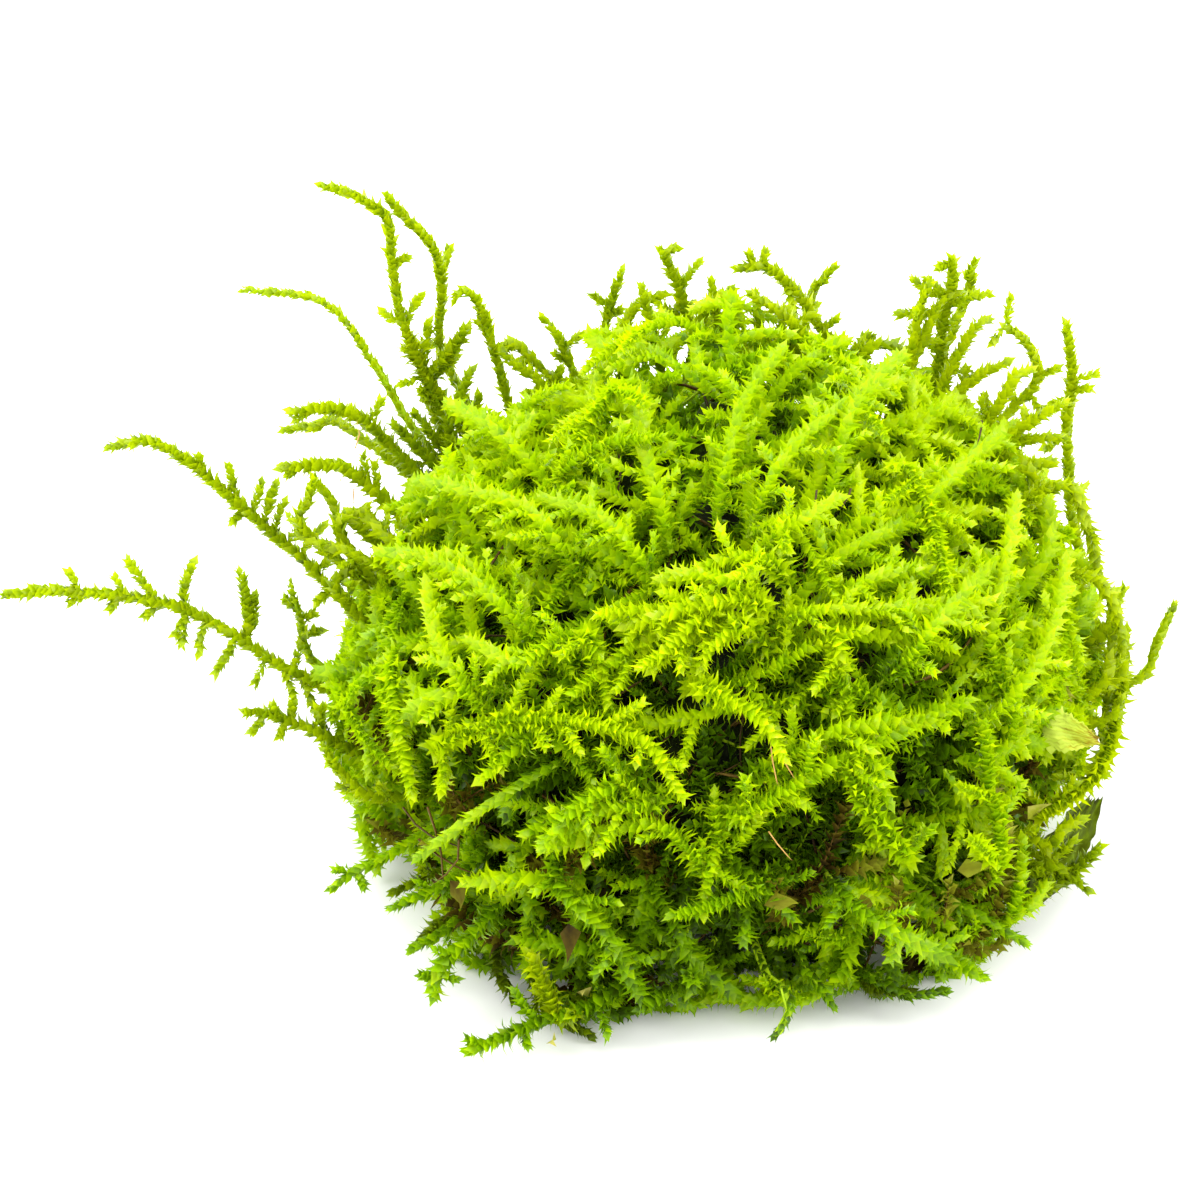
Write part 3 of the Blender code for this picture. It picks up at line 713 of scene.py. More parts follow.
# side shoots that show against the light: how far from the tip, and how far each reaches to the
# right and up
sideShoots = {
    "left_long": [
        (5, -0.7, 1.3), (8, -0.8, 1.3), (10, -1.9, 2.5), (12, 0.3, 3.1), (16, 0.8, 2.9),
        (16.5, -0.5, 4.5), (5.5, -1.2, -0.8), (7.5, -0.5, -0.8), (10, -0.7, -0.9), (12, -0.4, -1.9),
        (12, -0.8, -1.5), (13.5, -0.6, -1.9), (15.5, -1.2, -2.1), (18, -0.9, -1.9), (19, 0.8, -2),
        (20.4, 0.5, 2.4), (20.8, 0.9, -2.4),
    ],
    "left_high": [
        (7, -0.4, 1.1), (10, -0.7, 2.3), (11, 0.6, 1.9), (12, 0.8, 2.8), (13, 0.5, 2.2), (14, 0.9, 1.6),
        (15, 1.5, 1.8), (10.5, -0.8, -0.4), (16.5, 1.3, 1.6), (17.5, 1.8, 0.3), (18, -0.9, -0.6),
    ],
    "left_low": [
        (0, -0.6, 0.1), (0.5, -0.8, -1.1), (1.5, -0.4, 0.8), (2, -0.5, -1), (2.5, -0.1, 1),
        (4.2, 0.1, 1.6), (5.4, -0.5, 1.8),
    ],
    "left_short": [(2.4, -0.7, 0.5), (3.2, 0.8, 0.6), (4.6, 0.9, 0.8)],
    "left_claw": [(1, -0.8, -0.5), (5.5, -0.2, 1.8), (6.5, -0.2, 1.9)],
    "left_forked": [(1.4, -0.9, -0.6), (5.4, 0.8, 1.3)],
    "back_tall": [
        (9, 0.8, 0.5), (13, -1.2, 0.3), (13.5, 1, 2), (16.5, 0.4, 3.1), (16, -1, 0.7), (17, -1.8, -0.4),
        (18, -0.3, -0.1), (17, 2.8, 3.4),
    ],
    "back_tall_twin": [(8.5, 0.5, 2.3), (13, -1.4, 0.4)],
    "back_bent": [(4, -0.6, 1.4), (5.5, -0.9, 1.4), (6, 1.1, 0)],
    "back_left_tip": [(2.6, 0.9, 1), (3.8, -1, 0.8)],
    "back_spur": [(2.6, -0.9, 0.7), (3.6, 0.8, 0.8)],
    "back_crook": [(0, 0.8, 0), (3, 1.2, 1.7), (4, -1, -0.8), (4.4, 2.4, 0.7), (5.2, -2.2, 1.3)],
    "back_plume": [(1.4, -0.3, 0.8), (1.8, 0.2, 0.7), (3.8, 0.5, -1.8), (7.6, 0.8, 0.7)],
    "feather": [
        (0.5, -0.7, 0.2), (3, -2.3, 1.2), (3, -1.4, 1.2), (3.5, 2.6, 0.9), (4, -2.9, 0), (5.5, 1, 1),
        (7, -1.7, 1.5), (8, 1.6, 1.4),
    ],
    "right_arc": [(0, 0.4, 1.8), (0, -0.7, -1.1), (4.5, 1.2, 0.9), (5.5, 0.9, -1), (6.5, -0.6, 1)],
    "right_tall": [(4, 1.6, 0.7), (4.5, 1.1, 0.3), (5, -1.9, -0.9), (7.5, -1.3, -0.6)],
    "right_bow": [(0.8, -0.9, 1.2), (2.2, 0.8, 1.1), (4.4, -1.2, 0.7)],
    "front_left_spur": [(1.6, -0.9, 0.5), (2.4, 0.4, -0.9)],
    "front_left_drop": [(1.4, -0.8, 0.5), (2.4, 0.9, -0.6), (3.6, -1.2, 0.3)],
    "front_creeper": [(1.4, -0.8, 0.5), (4, 0, -1.1), (5, -1.7, 1.9), (8.8, 0.8, -1.8), (9.4, -0.6, 2)],
}


def plainName(key):
    first, *rest = key.split("_")
    return first + "".join(word.capitalize() for word in rest) + "Shoot"


def rootedRoute(route):
    # the shoot goes on back and down into the cushion, where the solid stops at its skin
    first = np.array(route[0], float)
    depth, out = domeDepth(first[None])
    back = unit(first - np.array(route[1], float)) * 1.8
    inner = first + back - out[0] * max(depth[0] + 2.2, 1.2)
    inner[2] = max(inner[2], 0.8)
    return [inner, *route]


def addTwig(bunch, start, tip, style, tone):
    long = np.linalg.norm(tip - start)
    bend = unit(np.cross(tip - start, chance.normal(0, 1, 3))) * long * chance.uniform(0.02, 0.14)
    path = evenRoute([start, (start + tip) / 2 + bend, tip])
    path[:, 2] = np.maximum(path[:, 2], floorClear)
    addLeaves(bunch, path, style, tone, start=0.15)
    addStem(bunch, path, 0.09, 0.8)


def twigWay(sides, i, hand, angles, rise):
    # off to one side of a shoot, forwards, and a little up or down
    along, side, up = (part[i] for part in sides)
    angle = math.radians(chance.uniform(*angles))
    return hand * side * math.sin(angle) + along * math.cos(angle) + up * chance.uniform(*rise)


def addTwigs(bunch, path, style, tone, reach, every=2.3):
    # side branches, left and right in turn, longest around the middle
    sides = sidesOf(path)
    length = pace * (len(path) - 1)
    s, hand = 2.5 + chance.uniform(0, 1), 1
    twigStyle = dict(style, leaf=style["leaf"] * 0.85, bud=0.8)
    while s < length - 2.2:
        i = int(s / pace)
        long = reach * (0.55 + 0.9 * math.sin(math.pi * min(0.9 * s / length + 0.15, 1)))
        way = twigWay(sides, i, hand, (42, 66), (-0.3, 0.4))
        tip = path[i] + unit(way) * max(long * chance.uniform(0.6, 1.25), 1.2)
        addTwig(bunch, path[i], tip, twigStyle, tone)
        s += every * chance.uniform(0.55, 1.3)
        hand = -hand if chance.random() < 0.8 else hand


for key, (style, tone, reach, *route) in longShoots.items():
    bunch = Bunch()
    path = evenRoute(rootedRoute(route))
    addLeaves(bunch, path, style, tone)
    addStem(bunch, path, style["stem"], 0.75, taper=0.1 if key == "front_hook" else 0.55)
    if key in sideShoots:
        for fromTip, right, rise in sideShoots[key]:
            start = path[max(len(path) - 1 - int(fromTip / pace), 1)]
            tip = start + np.array([right, chance.uniform(-0.4, 0.4), 0]) + rise * seenUp
            addTwig(bunch, start, tip, twiggy, tone)
    elif reach:
        addTwigs(bunch, path, style, tone, reach)
    # shoots that stand clear against the light get the leaf colours with painted light and shade
    finishes = mossFinishes if key.startswith(("over_", "front_")) else edgeShadeFinishes
    makePiece(plainName(key), bunch, finishes, ["shoot_" + key])
print("long shoots made:", len(longShoots))


# shoots without a solid of their own that show on the cushion: how leafy, how pale, and the route
skinShoots = [
    (leafy, 0.74, (-1, -13.3, 27.7), (-3.1, -14.7, 26.5), (-4.4, -15.4, 24.9)),
    (leafy, 0.72, (1.6, -12.8, 28.3), (-2, -13.1, 28), (-6, -12.4, 25.9)),
    (leafy, 0.6, (1, -12.2, 28.7), (-1.3, -11.1, 29), (-3.9, -10, 27.7)),
    (leafy, 0.7, (1, -14, 27.2), (-0.9, -15.2, 26.2), (-1.4, -15.6, 25)),
    (leafy, 0.62, (2.9, -10.4, 29.3), (0.3, -10.2, 29.6), (-2, -10.6, 28.6)),
    (leafy, 0.7, (-2, -11.6, 26.4), (-5.2, -12, 26.6), (-7.9, -12.3, 26.7)),
    (fine, 0.6, (3.2, -8.5, 29.8), (5.2, -7.4, 30.6), (7.5, -4.5, 29.9)),
    (leafy, 0.68, (9.8, -14.5, 21.3), (7.3, -15.2, 23.5), (6.6, -13.8, 25.7)),
    (leafy, 0.5, (11.7, -18.6, 11.9), (9.1, -19.7, 17.1), (7.8, -19.3, 20.2)),
    (fine, 0.54, (18.2, -10.3, 17.7), (17.2, -9.2, 21.9), (18.2, -3.8, 24.2), (18.9, 1.9, 24.5)),
    (fine, 0.56, (11.7, 1.1, 27.7), (13.3, -2.9, 26.8), (14.3, -8.8, 25.8)),
    (fine, 0.56, (18.2, -12.4, 19.5), (20.8, -7.4, 20.4), (22.1, -0.1, 21)),
    (leafy, 0.5, (12, -13.6, 24.5), (13.7, -11.5, 25.5), (17.6, -3.3, 23.8)),
    (leafy, 0.7, (7.2, -14.1, 26), (7.8, -15.1, 22.6), (8.5, -19.3, 20.2)),
    (fine, 0.52, (-10.4, -12.4, 24.6), (-13, -13.8, 24), (-16.2, -10.3, 22.9)),
    (fine, 0.48, (-14.3, -7, 24.3), (-16.9, -4.4, 24.7), (-20.2, -2.8, 23.4)),
    (fine, 0.46, (-5.2, -8.2, 27.8), (-7.8, -5, 28.6), (-11.7, -0.6, 26.6)),
    (fine, 0.44, (-10.4, 0.7, 27.2), (-7.8, 0.9, 29.6), (-3.9, 0.8, 30.5)),
    (fine, 0.58, (-16.2, -13.4, 21.2), (-18.2, -9.8, 22.4), (-18.9, -4.9, 23.4)),
    (leafy, 0.4, (-10.4, -21.9, 12.1), (-7.2, -23.1, 8.9), (-5.2, -23.4, 4.1)),
    (leafy, 0.32, (8.5, -22.9, 11.3), (11.7, -22.6, 8.5), (15.6, -18.6, 2.5)),
    (leafy, 0.52, (-6.5, -20.3, 6.6), (-8.5, -21.2, 6.5), (-13, -20.1, 6)),
    (fine, 0.52, (2.6, -4.2, 29.9), (4.5, -0.4, 30.6), (8.5, 5.5, 29.8), (11.7, 10.4, 27.4)),
    (fine, 0.52, (-10.4, -5.7, 26.8), (-12.3, -2.6, 27.2), (-16.2, 0.7, 26), (-19.5, 4.8, 23.4)),
    (fine, 0.46, (-13, -10.1, 24.2), (-15.6, -7.2, 24.9), (-18.9, -3.6, 24), (-22.1, -0.2, 21.7)),
    (fine, 0.48, (0, -2.9, 29.6), (1.3, 3.3, 31), (3.9, 9.2, 31)),
    (fine, 0.46, (7.2, -1.3, 29), (8.5, 4.7, 30), (11.7, 13.3, 27)),
    (fine, 0.48, (-11.7, 2.6, 26), (-14.3, 6.6, 26), (-17.6, 13.7, 22.6)),
    (fine, 0.48, (11.7, -3.2, 26.6), (15.6, 3.5, 26), (18.9, 11.3, 22.9)),
    (leafy, 0.5, (-6.5, -20.1, 19.2), (-9.1, -21.2, 18.4), (-11.4, -21.8, 15.5)),
    (fine, 0.64, (5.2, -12.8, 27.3), (9.8, -11.6, 26.6), (15.3, -9.1, 24.2)),
    (fine, 0.58, (8.5, -10.2, 27.4), (12.3, -7.4, 26.2), (17.2, -4.6, 23.3)),
    (fine, 0.58, (3.6, -7.2, 29.6), (5.2, -8.1, 29), (7.2, -11.6, 27.3)),
    (leafy, 0.54, (3.2, -18.6, 19.2), (7.2, -17.9, 21.7), (13.3, -15.3, 20.4)),
    (leafy, 0.62, (-5.2, -20.9, 18.1), (-7.8, -21, 17.6), (-11.4, -21, 15.2)),
    (leafy, 0.6, (-8.6, -12.3, 24.7), (-7.8, -13.7, 24), (-7.3, -15.8, 22.3)),
    (leafy, 0.58, (-5.2, -12.8, 25), (-7.2, -14, 23.8), (-9.4, -15.5, 22.9)),
    (leafy, 0.68, (-1.3, -12.9, 27.2), (-4.5, -12.8, 25.4), (-5.2, -13.6, 23.8)),
    (leafy, 0.52, (-16.2, -13.2, 21), (-18.9, -11.8, 19), (-20.8, -9.8, 14.7)),
]
edgeShoots = [  # the ones that leave the cushion against the light
    (slim, 0.4, (-23.4, 2, 19.6), (-25.4, 3, 19.6), (-27.3, 4, 19.7)),
    (slim, 0.4, (-24.7, 4, 19.8), (-23.9, 4.5, 20.6), (-22.8, 5, 21.2)),
    (slim, 0.4, (-26.8, 4, 20), (-26.7, 4.6, 21.7), (-26.2, 5, 23.4)),
    (neat, 0.4, (-24.8, 2, 16.6), (-24.2, 3, 17.2), (-23.3, 4, 17.4)),
    (neat, 0.4, (-21.1, 2, 20.6), (-22.4, 4, 20.6), (-23.9, 5, 20.8)),
    (neat, 0.36, (-4.2, 15, 26.6), (-4.7, 16, 28.3), (-5.1, 17, 29.6)),
    (neat, 0.36, (0, 16, 25.4), (-0.3, 17, 27.5), (-0.6, 18, 29.2)),
    (neat, 0.36, (-1.3, 16, 27.7), (-0.4, 17, 28.4), (0.7, 18, 28.7)),
    (neat, 0.45, (2.5, 16, 25.8), (2.4, 17, 27.2), (2.3, 18, 28.3)),
    (neat, 0.45, (5.2, 15, 27.5), (3.6, 16, 28.6), (2.1, 17, 29)),
    (neat, 0.4, (-11.7, 16, 22.4), (-13.3, 17, 23.2), (-14.1, 17.6, 23.8)),
    (slim, 0.38, (-9.4, 17, 20.7), (-11.4, 18, 21.8), (-13.3, 19, 23.3), (-14.5, 19.5, 22.1)),
    (neat, 0.34, (-9.6, 15, 19.8), (-10.7, 16, 21.5), (-10.4, 17, 22.8)),
    (neat, 0.3, (-17.6, 14, 20.2), (-17, 15, 21.9), (-16.2, 16, 23.4)),
    (neat, 0.34, (-16.2, 14, 19.4), (-16, 15, 20.4), (-15.7, 16, 21.3)),
    (neat, 0.4, (-6.2, 17, 26.2), (-5.2, 18, 27.5), (-3.8, 18.6, 27.8)),
    (neat, 0.4, (4.5, 16, 25.8), (5.2, 17, 26.9), (6.2, 17.6, 26.7)),
    (slim, 0.5, (12, 14, 24.9), (12.5, 15, 27), (12.9, 16, 28.9), (13.5, 16.6, 30.2)),
    (slim, 0.5, (13.7, 16, 27.9), (14.4, 16.6, 28.8), (15.1, 17, 29.1)),
    (neat, 0.4, (8.5, 14, 25.3), (9.9, 15, 26.4), (12, 16, 25.4)),
    (neat, 0.4, (8.1, 15, 24.9), (8.8, 16, 25.4), (9.8, 16.4, 25.9)),
    (neat, 0.5, (15, 13, 23.6), (16.6, 14, 24.7), (18.4, 15, 25)),
    (neat, 0.5, (16.9, 11, 21.9), (17.2, 12, 22.9), (17.1, 13, 23.8)),
    (neat, 0.46, (17.2, 9, 22.7), (19.5, 10, 23.8), (22.2, 11, 24.9)),
    (neat, 0.4, (20.2, 6, 22.3), (19.6, 7, 22.7), (21.4, 8, 22.5)),
    (neat, 0.4, (22, 4, 23.8), (23.5, 3.6, 21), (24.4, 2.6, 17.5)),
    (neat, 0.4, (23.4, 1, 18.8), (25.1, 0.6, 17.1), (25.9, 0, 14.2)),
    (neat, 0.36, (-18.5, 13, 18.1), (-20, 13.6, 19.6), (-21.1, 14, 20.6)),
    (neat, 0.36, (-17.9, 14, 18.5), (-19, 14.6, 19.8), (-19.8, 15, 20.7)),
    (neat, 0.36, (-20.5, 5, 16.5), (-22.5, 5.6, 18), (-24.2, 6, 19.6)),
    (neat, 0.36, (-20.8, 5, 17.5), (-22.2, 5.8, 19), (-22.9, 6, 19.9)),
    (neat, 0.4, (18.2, 10, 21.9), (20.4, 10.6, 22.3), (22.1, 11, 22)),
    (leafy, 0.4, (-17.2, 17, 18.8), (-19.4, 18.2, 22), (-20.4, 19, 24.4)),
    (neat, 0.38, (-18.9, 18, 19.6), (-17.8, 18.6, 22), (-16.6, 19, 24.5)),
    (neat, 0.3, (-14.3, -18, 1.7), (-13.6, -19.4, 1.3), (-12.7, -20.5, 0.9)),
    (neat, 0.3, (-18.4, -12.4, 4.8), (-20, -13, 4.6), (-21, -13.4, 4.3)),
    (neat, 0.3, (-17, -15, 3.8), (-18.6, -16.2, 3.5), (-19.4, -17, 3.2)),
    (neat, 0.5, (18.2, 12, 24.5), (18.9, 13, 25.3), (20, 14, 25.2)),
    (neat, 0.45, (15.6, 15, 26.2), (16.4, 16, 27), (17.2, 17, 26.9)),
    (neat, 0.3, (20.8, -11, 3.9), (22.5, -12, 4.9), (24.2, -12, 6.8)),
    (neat, 0.32, (-11.7, -21, 2.1), (-10.4, -22, 1.2), (-8.5, -23, 0.6)),
    (neat, 0.2, (9.1, -20, 2.5), (10.4, -20.6, 2.2), (12, -21, 2.5)),
    (leafy, 0.55, (-10.2, -23.6, 2.6), (-11.2, -23.2, 4.6), (-12.2, -22.8, 7)),
    (neat, 0.5, (3.6, 15, 26.4), (4, 16.4, 27), (4.2, 17.4, 27.5)),
    (neat, 0.5, (4.8, 15, 26), (5.2, 16, 26), (5, 17, 26.4)),
    (neat, 0.42, (24.2, -2.4, 12), (25, -0.6, 13), (25.4, 1.2, 14.4)),
    (neat, 0.4, (24.4, -4, 7), (24.8, -2.4, 8.4), (25, -0.4, 9.8)),
    (neat, 0.38, (20, -12.6, 5.4), (21.4, -12.2, 6.2), (22.6, -11.6, 7)),
    (neat, 0.34, (19.4, -13.4, 3.6), (21, -13, 4.2), (22.4, -12.6, 4.6)),
    (fine, 0.4, (20.4, -12.4, 7.6), (21.8, -11.6, 8), (23, -10.6, 8)),
    (neat, 0.44, (24.6, 1.5, 13.5), (25.3, 3, 14), (26, 4.4, 14.6)),
    (neat, 0.42, (25.4, -1, 11.6), (25.8, 0.6, 12.2), (26.2, 2, 13)),
    (neat, 0.42, (24.8, -3.4, 10.2), (25.4, -2.6, 10.2), (25.8, -2, 10.8)),
]


def makeSpareShoots(name, shoots, reach, finishes):
    bunch = Bunch()
    for style, tone, *route in shoots:
        path = evenRoute(rootedRoute(route))
        addLeaves(bunch, path, style, tone)
        addStem(bunch, path, style["stem"], 0.7, taper=0.55)
        addTwigs(bunch, path, style, tone, reach, every=2.6)
    makePiece(name, bunch, finishes, ["moss_cushion"])


makeSpareShoots("skinShoots", skinShoots, 1.8, mossFinishes)
makeSpareShoots("edgeShoots", edgeShoots, 1.2, edgeShadeFinishes)
print("spare shoots made:", len(skinShoots) + len(edgeShoots))


crown = np.array([-1.0, -13.0, 26.0])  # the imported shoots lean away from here
shortest = 6  # fewest points of a shoot that ends at a gap
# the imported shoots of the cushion, from the inside out. hover is how far off the skin they run, lift how
# far their tips rise, deepest where their leaves end, and flow how much they lean away from the crown.
# parts says whether the gaps part them, and behind whether they leave out the front
layers = {
    "underShoots": {
        "shoots": 300, "pieces": 1, "length": (8, 14), "hover": (-4.6, -2.8), "lift": (-0.5, 0.5),
        "leaf": (1.0, 1.2), "perMm": 8.5, "tone": 0.36, "twigReach": 3.6, "twigEvery": 3.6,
        "deepest": -6.0, "flow": 0.1, "parts": False, "behind": False, "shape": plainLeafShape,
    },
    "packedShoots": {
        "shoots": 300, "pieces": 5, "length": (9, 20), "hover": (-2.6, 0.2), "lift": (-0.6, 2.0),
        "leaf": (0.85, 1.15), "perMm": 12.5, "tone": 0.56, "twigReach": 4.2, "twigEvery": 2.9,
        "deepest": -4.4, "flow": 0.8, "parts": True, "behind": False, "shape": leafShape,
    },
    "looseTips": {
        "shoots": 80, "pieces": 1, "length": (5, 9), "hover": (-0.4, 0.8), "lift": (1.5, 4.5),
        "leaf": (0.9, 1.1), "perMm": 10.5, "tone": 0.52, "twigReach": 2.2, "twigEvery": 1.9,
        "deepest": -4.0, "flow": 0.8, "parts": True, "behind": True, "shape": leafShape,
    },
}


def spreadWays(n, lowest, scatter=0.06):
    # nearly even directions over the dome, from its top down
    k = np.arange(n) + 0.5
    z = 1 - k / n * (1 - lowest)
    turn = k * goldenTurn
    flat = np.sqrt(np.maximum(1 - z * z, 0))
    ways = np.stack([flat * np.cos(turn), flat * np.sin(turn), z], 1)
    return unit(ways + chance.normal(0, scatter, (n, 3)))


def footPoints(ways, depth):
    # where shoots start: this deep under the skin, and off the ground
    points = skinPoints(ways, depth)
    points[:, 2] = np.maximum(points[:, 2], floorClear)
    return points


def layerPaths(layer):
    n = layer["shoots"]
    ways = spreadWays(n, -0.52)
    if layer["behind"]:  # they leave the cushion at its back, sides and top
        ways = spreadWays(n * 2, -0.1)
        edge = ways[:, 1] * 0.77 - ways[:, 2] * 0.64  # away from the front
        edge = edge + 0.5 * np.abs(ways[:, 0])
        ways = ways[np.argsort(-(edge + chance.normal(0, 0.2, n * 2)))[:n]]
    starts = footPoints(ways, layer["hover"][0] - chance.uniform(0.8, 2.8, n))
    _, out = domeDepth(starts)
    away = starts - crown
    near = np.exp(-(np.linalg.norm(away, axis=1) / 9) ** 2)[:, None]
    heading = unit(unit(away) * layer["flow"] * (1 - near) + chance.normal(0, 0.6, (n, 3)))
    heading = unit(heading - out * dot(heading, out) + out * 0.35)
    lengths = chance.uniform(*layer["length"], n)
    hover = chance.uniform(*layer["hover"], n)
    lift = chance.uniform(*layer["lift"], n)
    droop = np.where(starts[:, 2] < 12, 0.05, 0.0) * chance.uniform(0, 2, n)
    paths = growPaths(starts, heading, lengths, hover, lift, chance.normal(0, 0.05, n), droop)
    if layer["parts"]:
        paths = [part for part in map(clearOf, paths) if len(part) > shortest]
    return paths


def layerTwigs(layer, paths, tones):
    # side shoots, left and right in turn: where each starts and heads, how long it is, and its tone
    twigs = []
    for path, tone in zip(paths, tones):
        sides = sidesOf(path)
        length = pace * (len(path) - 1)
        s, hand = chance.uniform(2.0, 3.5), 1
        while s < length - 2.0:
            i = int(s / pace)
            long = layer["twigReach"] * (0.45 + 0.6 * math.sin(math.pi * (0.2 + 0.75 * s / length)))
            way = twigWay(sides, i, hand, (40, 65), (0, 0.5))
            twigs.append((path[i], way, max(long * chance.uniform(0.6, 1.25), 1.5), tone))
            s += layer["twigEvery"] * chance.uniform(0.6, 1.4)
            hand = -hand
    feet, ways, lengths, twigTones = (np.array(part) for part in zip(*twigs))
    depth, _ = domeDepth(feet)
    m = len(twigs)
    hover = np.clip(depth + chance.uniform(-0.3, 1.4, m), layer["hover"][0], layer["hover"][1] + 0.8)
    lift = chance.uniform(0.1, 0.9, m) * max(layer["lift"][1], 0.5)
    twigPaths = growPaths(feet, ways, lengths, hover, lift, chance.normal(0, 0.1, m), np.zeros(m))
    if layer["parts"]:
        twigPaths = [clearOf(path) for path in twigPaths]
    return twigPaths, twigTones


def makeLayer(name, layer):
    paths = layerPaths(layer)
    tones = np.clip(chance.normal(layer["tone"], 0.07, len(paths)), 0.12, 0.85)
    twigPaths, twigTones = layerTwigs(layer, paths, tones)
    bunches = [Bunch() for _ in range(layer["pieces"])]
    for i, (path, tone) in enumerate(zip(paths, tones)):
        bunch = bunches[i % len(bunches)]
        style = dict(leafy, leaf=chance.uniform(*layer["leaf"]), perMm=layer["perMm"])
        style.update(spread=chance.uniform(21, 30), curve=chance.uniform(0.35, 0.6))
        style.update(sweep=chance.uniform(-0.05, 0.25))
        addLeaves(bunch, path, style, tone, deepest=layer["deepest"])
        addStem(bunch, path, 0.14, 0.7)
    for i, (path, tone) in enumerate(zip(twigPaths, twigTones)):
        if len(path) < shortest:
            continue
        bunch = bunches[i % len(bunches)]
        style = dict(leafy, leaf=layer["leaf"][0] * chance.uniform(0.9, 1.1), perMm=layer["perMm"])
        style.update(spread=chance.uniform(21, 30), curve=chance.uniform(0.3, 0.55), bud=0.8)
        addLeaves(bunch, path, style, tone + chance.normal(0.03, 0.05), deepest=layer["deepest"])
        addStem(bunch, path, 0.09, 0.8)
    for i, bunch in enumerate(bunches):
        title = name if len(bunches) == 1 else f"{name}{i + 1}"
        makePiece(title, bunch, mossFinishes, ["moss_cushion"], layer["shape"])
    print(name, "made:", len(paths), "shoots with", len(twigPaths), "side shoots")


for name, layer in layers.items():
    chance = np.random.default_rng(7)  # a change to one layer leaves the others as they are
    makeLayer(name, layer)


# the old stems and litter
oldMat = {
    "under": 6.2,  # how deep under the leafy skin the dark tangle starts
    "rim": 0.72,  # share of the way out where its foot spreads to the mat's own edge
    "rough": 1.1,
    # painted shade: near black, for the shade deep in the cushion as well as its old stems
    "stops": [
        (0.3, (0.002, 0.003, 0.000)), (0.5, (0.006, 0.009, 0.001)), (0.68, (0.016, 0.024, 0.001)),
        (1.0, (0.080, 0.150, 0.002)),
    ],
    "grainScale": 1400,
    "blotchScale": 220,
    "greenBehind": (-0.006, 14),  # where the green begins, in metres, and how fast it grows to the back
}


def makeMatFinish():
    n = Nodes("old stem mat with painted shade")
    where = n.objectPlace()
    grain = n.noise(where, oldMat["grainScale"], 4.0)
    blotch = n.noise(where, oldMat["blotchScale"], 5.0)
    split = n.add("ShaderNodeSeparateXYZ")
    n.join(where, split.inputs[0])
    back = n.math("MAXIMUM", n.around(split.outputs[1], *oldMat["greenBehind"]), 0.0)
    tone = n.total(n.math("MULTIPLY", blotch, 0.6), n.math("MULTIPLY", grain, 0.5))
    tone = n.math("ADD", tone, back, clamp=True)
    surface, body = n.shader(n.ramp(tone, oldMat["stops"]), 0.85, 0.2)
    n.bump(grain, body, 0.8, 0.0003)
    return n.finish(surface)


def makeOldMat():
    # one lumpy body: the mat on the ground, and the tangle that rises from it inside the cushion, coloured
    # near black as painted shade over its old stems
    matLow, matHigh = boxInMm("old_stem_mat")
    shape = bmesh.new()
    bmesh.ops.create_icosphere(shape, subdivisions=6, radius=1.0)
    ways = unit(np.array([v.co[:] for v in shape.verts]))
    points = skinPoints(ways, np.full(len(ways), -oldMat["under"]))
    half, middle = (matHigh - matLow)[:2] / 2, (matHigh + matLow)[:2] / 2
    skirt = np.exp(-np.maximum(points[:, 2] - 1.5, 0) / 2.5)[:, None]
    flat = points[:, :2] - middle
    share = np.linalg.norm(flat / half, axis=1, keepdims=True)
    rim = middle + flat / np.maximum(share, 1e-3)
    spread = points[:, :2] * (1 - skirt) + rim * skirt
    points[:, :2] = np.where(share > oldMat["rim"], spread, points[:, :2])
    for i, p in enumerate(points):
        points[i] += ways[i] * noise.fractal(Vector(p) * 0.42, 0.6, 2.1, 5) * oldMat["rough"]
    points[:, 2] = np.maximum(points[:, 2], 0.02)
    for v, p in zip(shape.verts, points):
        v.co = Vector(p) * mm
    mesh = bpy.data.meshes.new("oldStemMat")
    shape.to_mesh(mesh)
    shape.free()
    linkMesh("oldStemMat", mesh, [makeMatFinish()], ["old_stem_mat"])


# dead stems that show: thickness, tone, and the route
looseStems = [
    (0.17, 0.8, (10.7, 13, 26), (10.2, 12.2, 24.8), (9.7, 11.5, 23.9)),
    (0.13, 0.25, (9.7, 11.5, 23.9), (9.4, 11.2, 23.4), (9.2, 11, 22.8)),
    (0.09, 0.02, (6, -4.1, 30.1), (5.9, -5.4, 30.3), (5.6, -6.6, 30.2)),
    (0.09, 0.02, (8.2, -3.1, 29.4), (8, -4.4, 29.8), (7.5, -5.6, 29.8)),
    (0.09, 0.05, (16.8, 9.1, 25), (16.7, 7, 25.8), (16.4, 5.2, 26.1)),
    (0.06, 0.8, (-23.6, 9.2, 22.6), (-23.3, 9.6, 23.6), (-23.5, 10, 24.4)),
    (0.06, 0.8, (-23.7, 8.8, 19.6), (-23.9, 8.6, 19), (-23.5, 8.4, 18.3)),
    (0.06, 0.8, (3.2, -19.4, 22), (3.9, -20, 20.9), (4.6, -20.2, 19.6)),
    (0.06, 0.8, (3, -19.3, 22), (3.2, -20.2, 20.6), (3.5, -20.6, 19.4)),
    (0.06, 0.8, (2.9, -21.2, 16.2), (3.6, -22, 15.6), (4.4, -22.2, 14.6)),
    (0.1, 0.3, (-19.4, -16.4, 11.4), (-17.4, -17.4, 10.2), (-15.2, -18, 9.6)),
    (0.1, 0.25, (-18.8, -15.8, 13.6), (-18, -17, 11.2), (-17.8, -17.6, 8.8)),
    (0.09, 0.35, (-16.8, -17.6, 12.4), (-17, -17.8, 10.4), (-18.6, -17.4, 8.4)),
    (0.09, 0.2, (-20.4, -14, 12), (-19, -16, 11.6), (-16.4, -17.8, 11.8)),
]
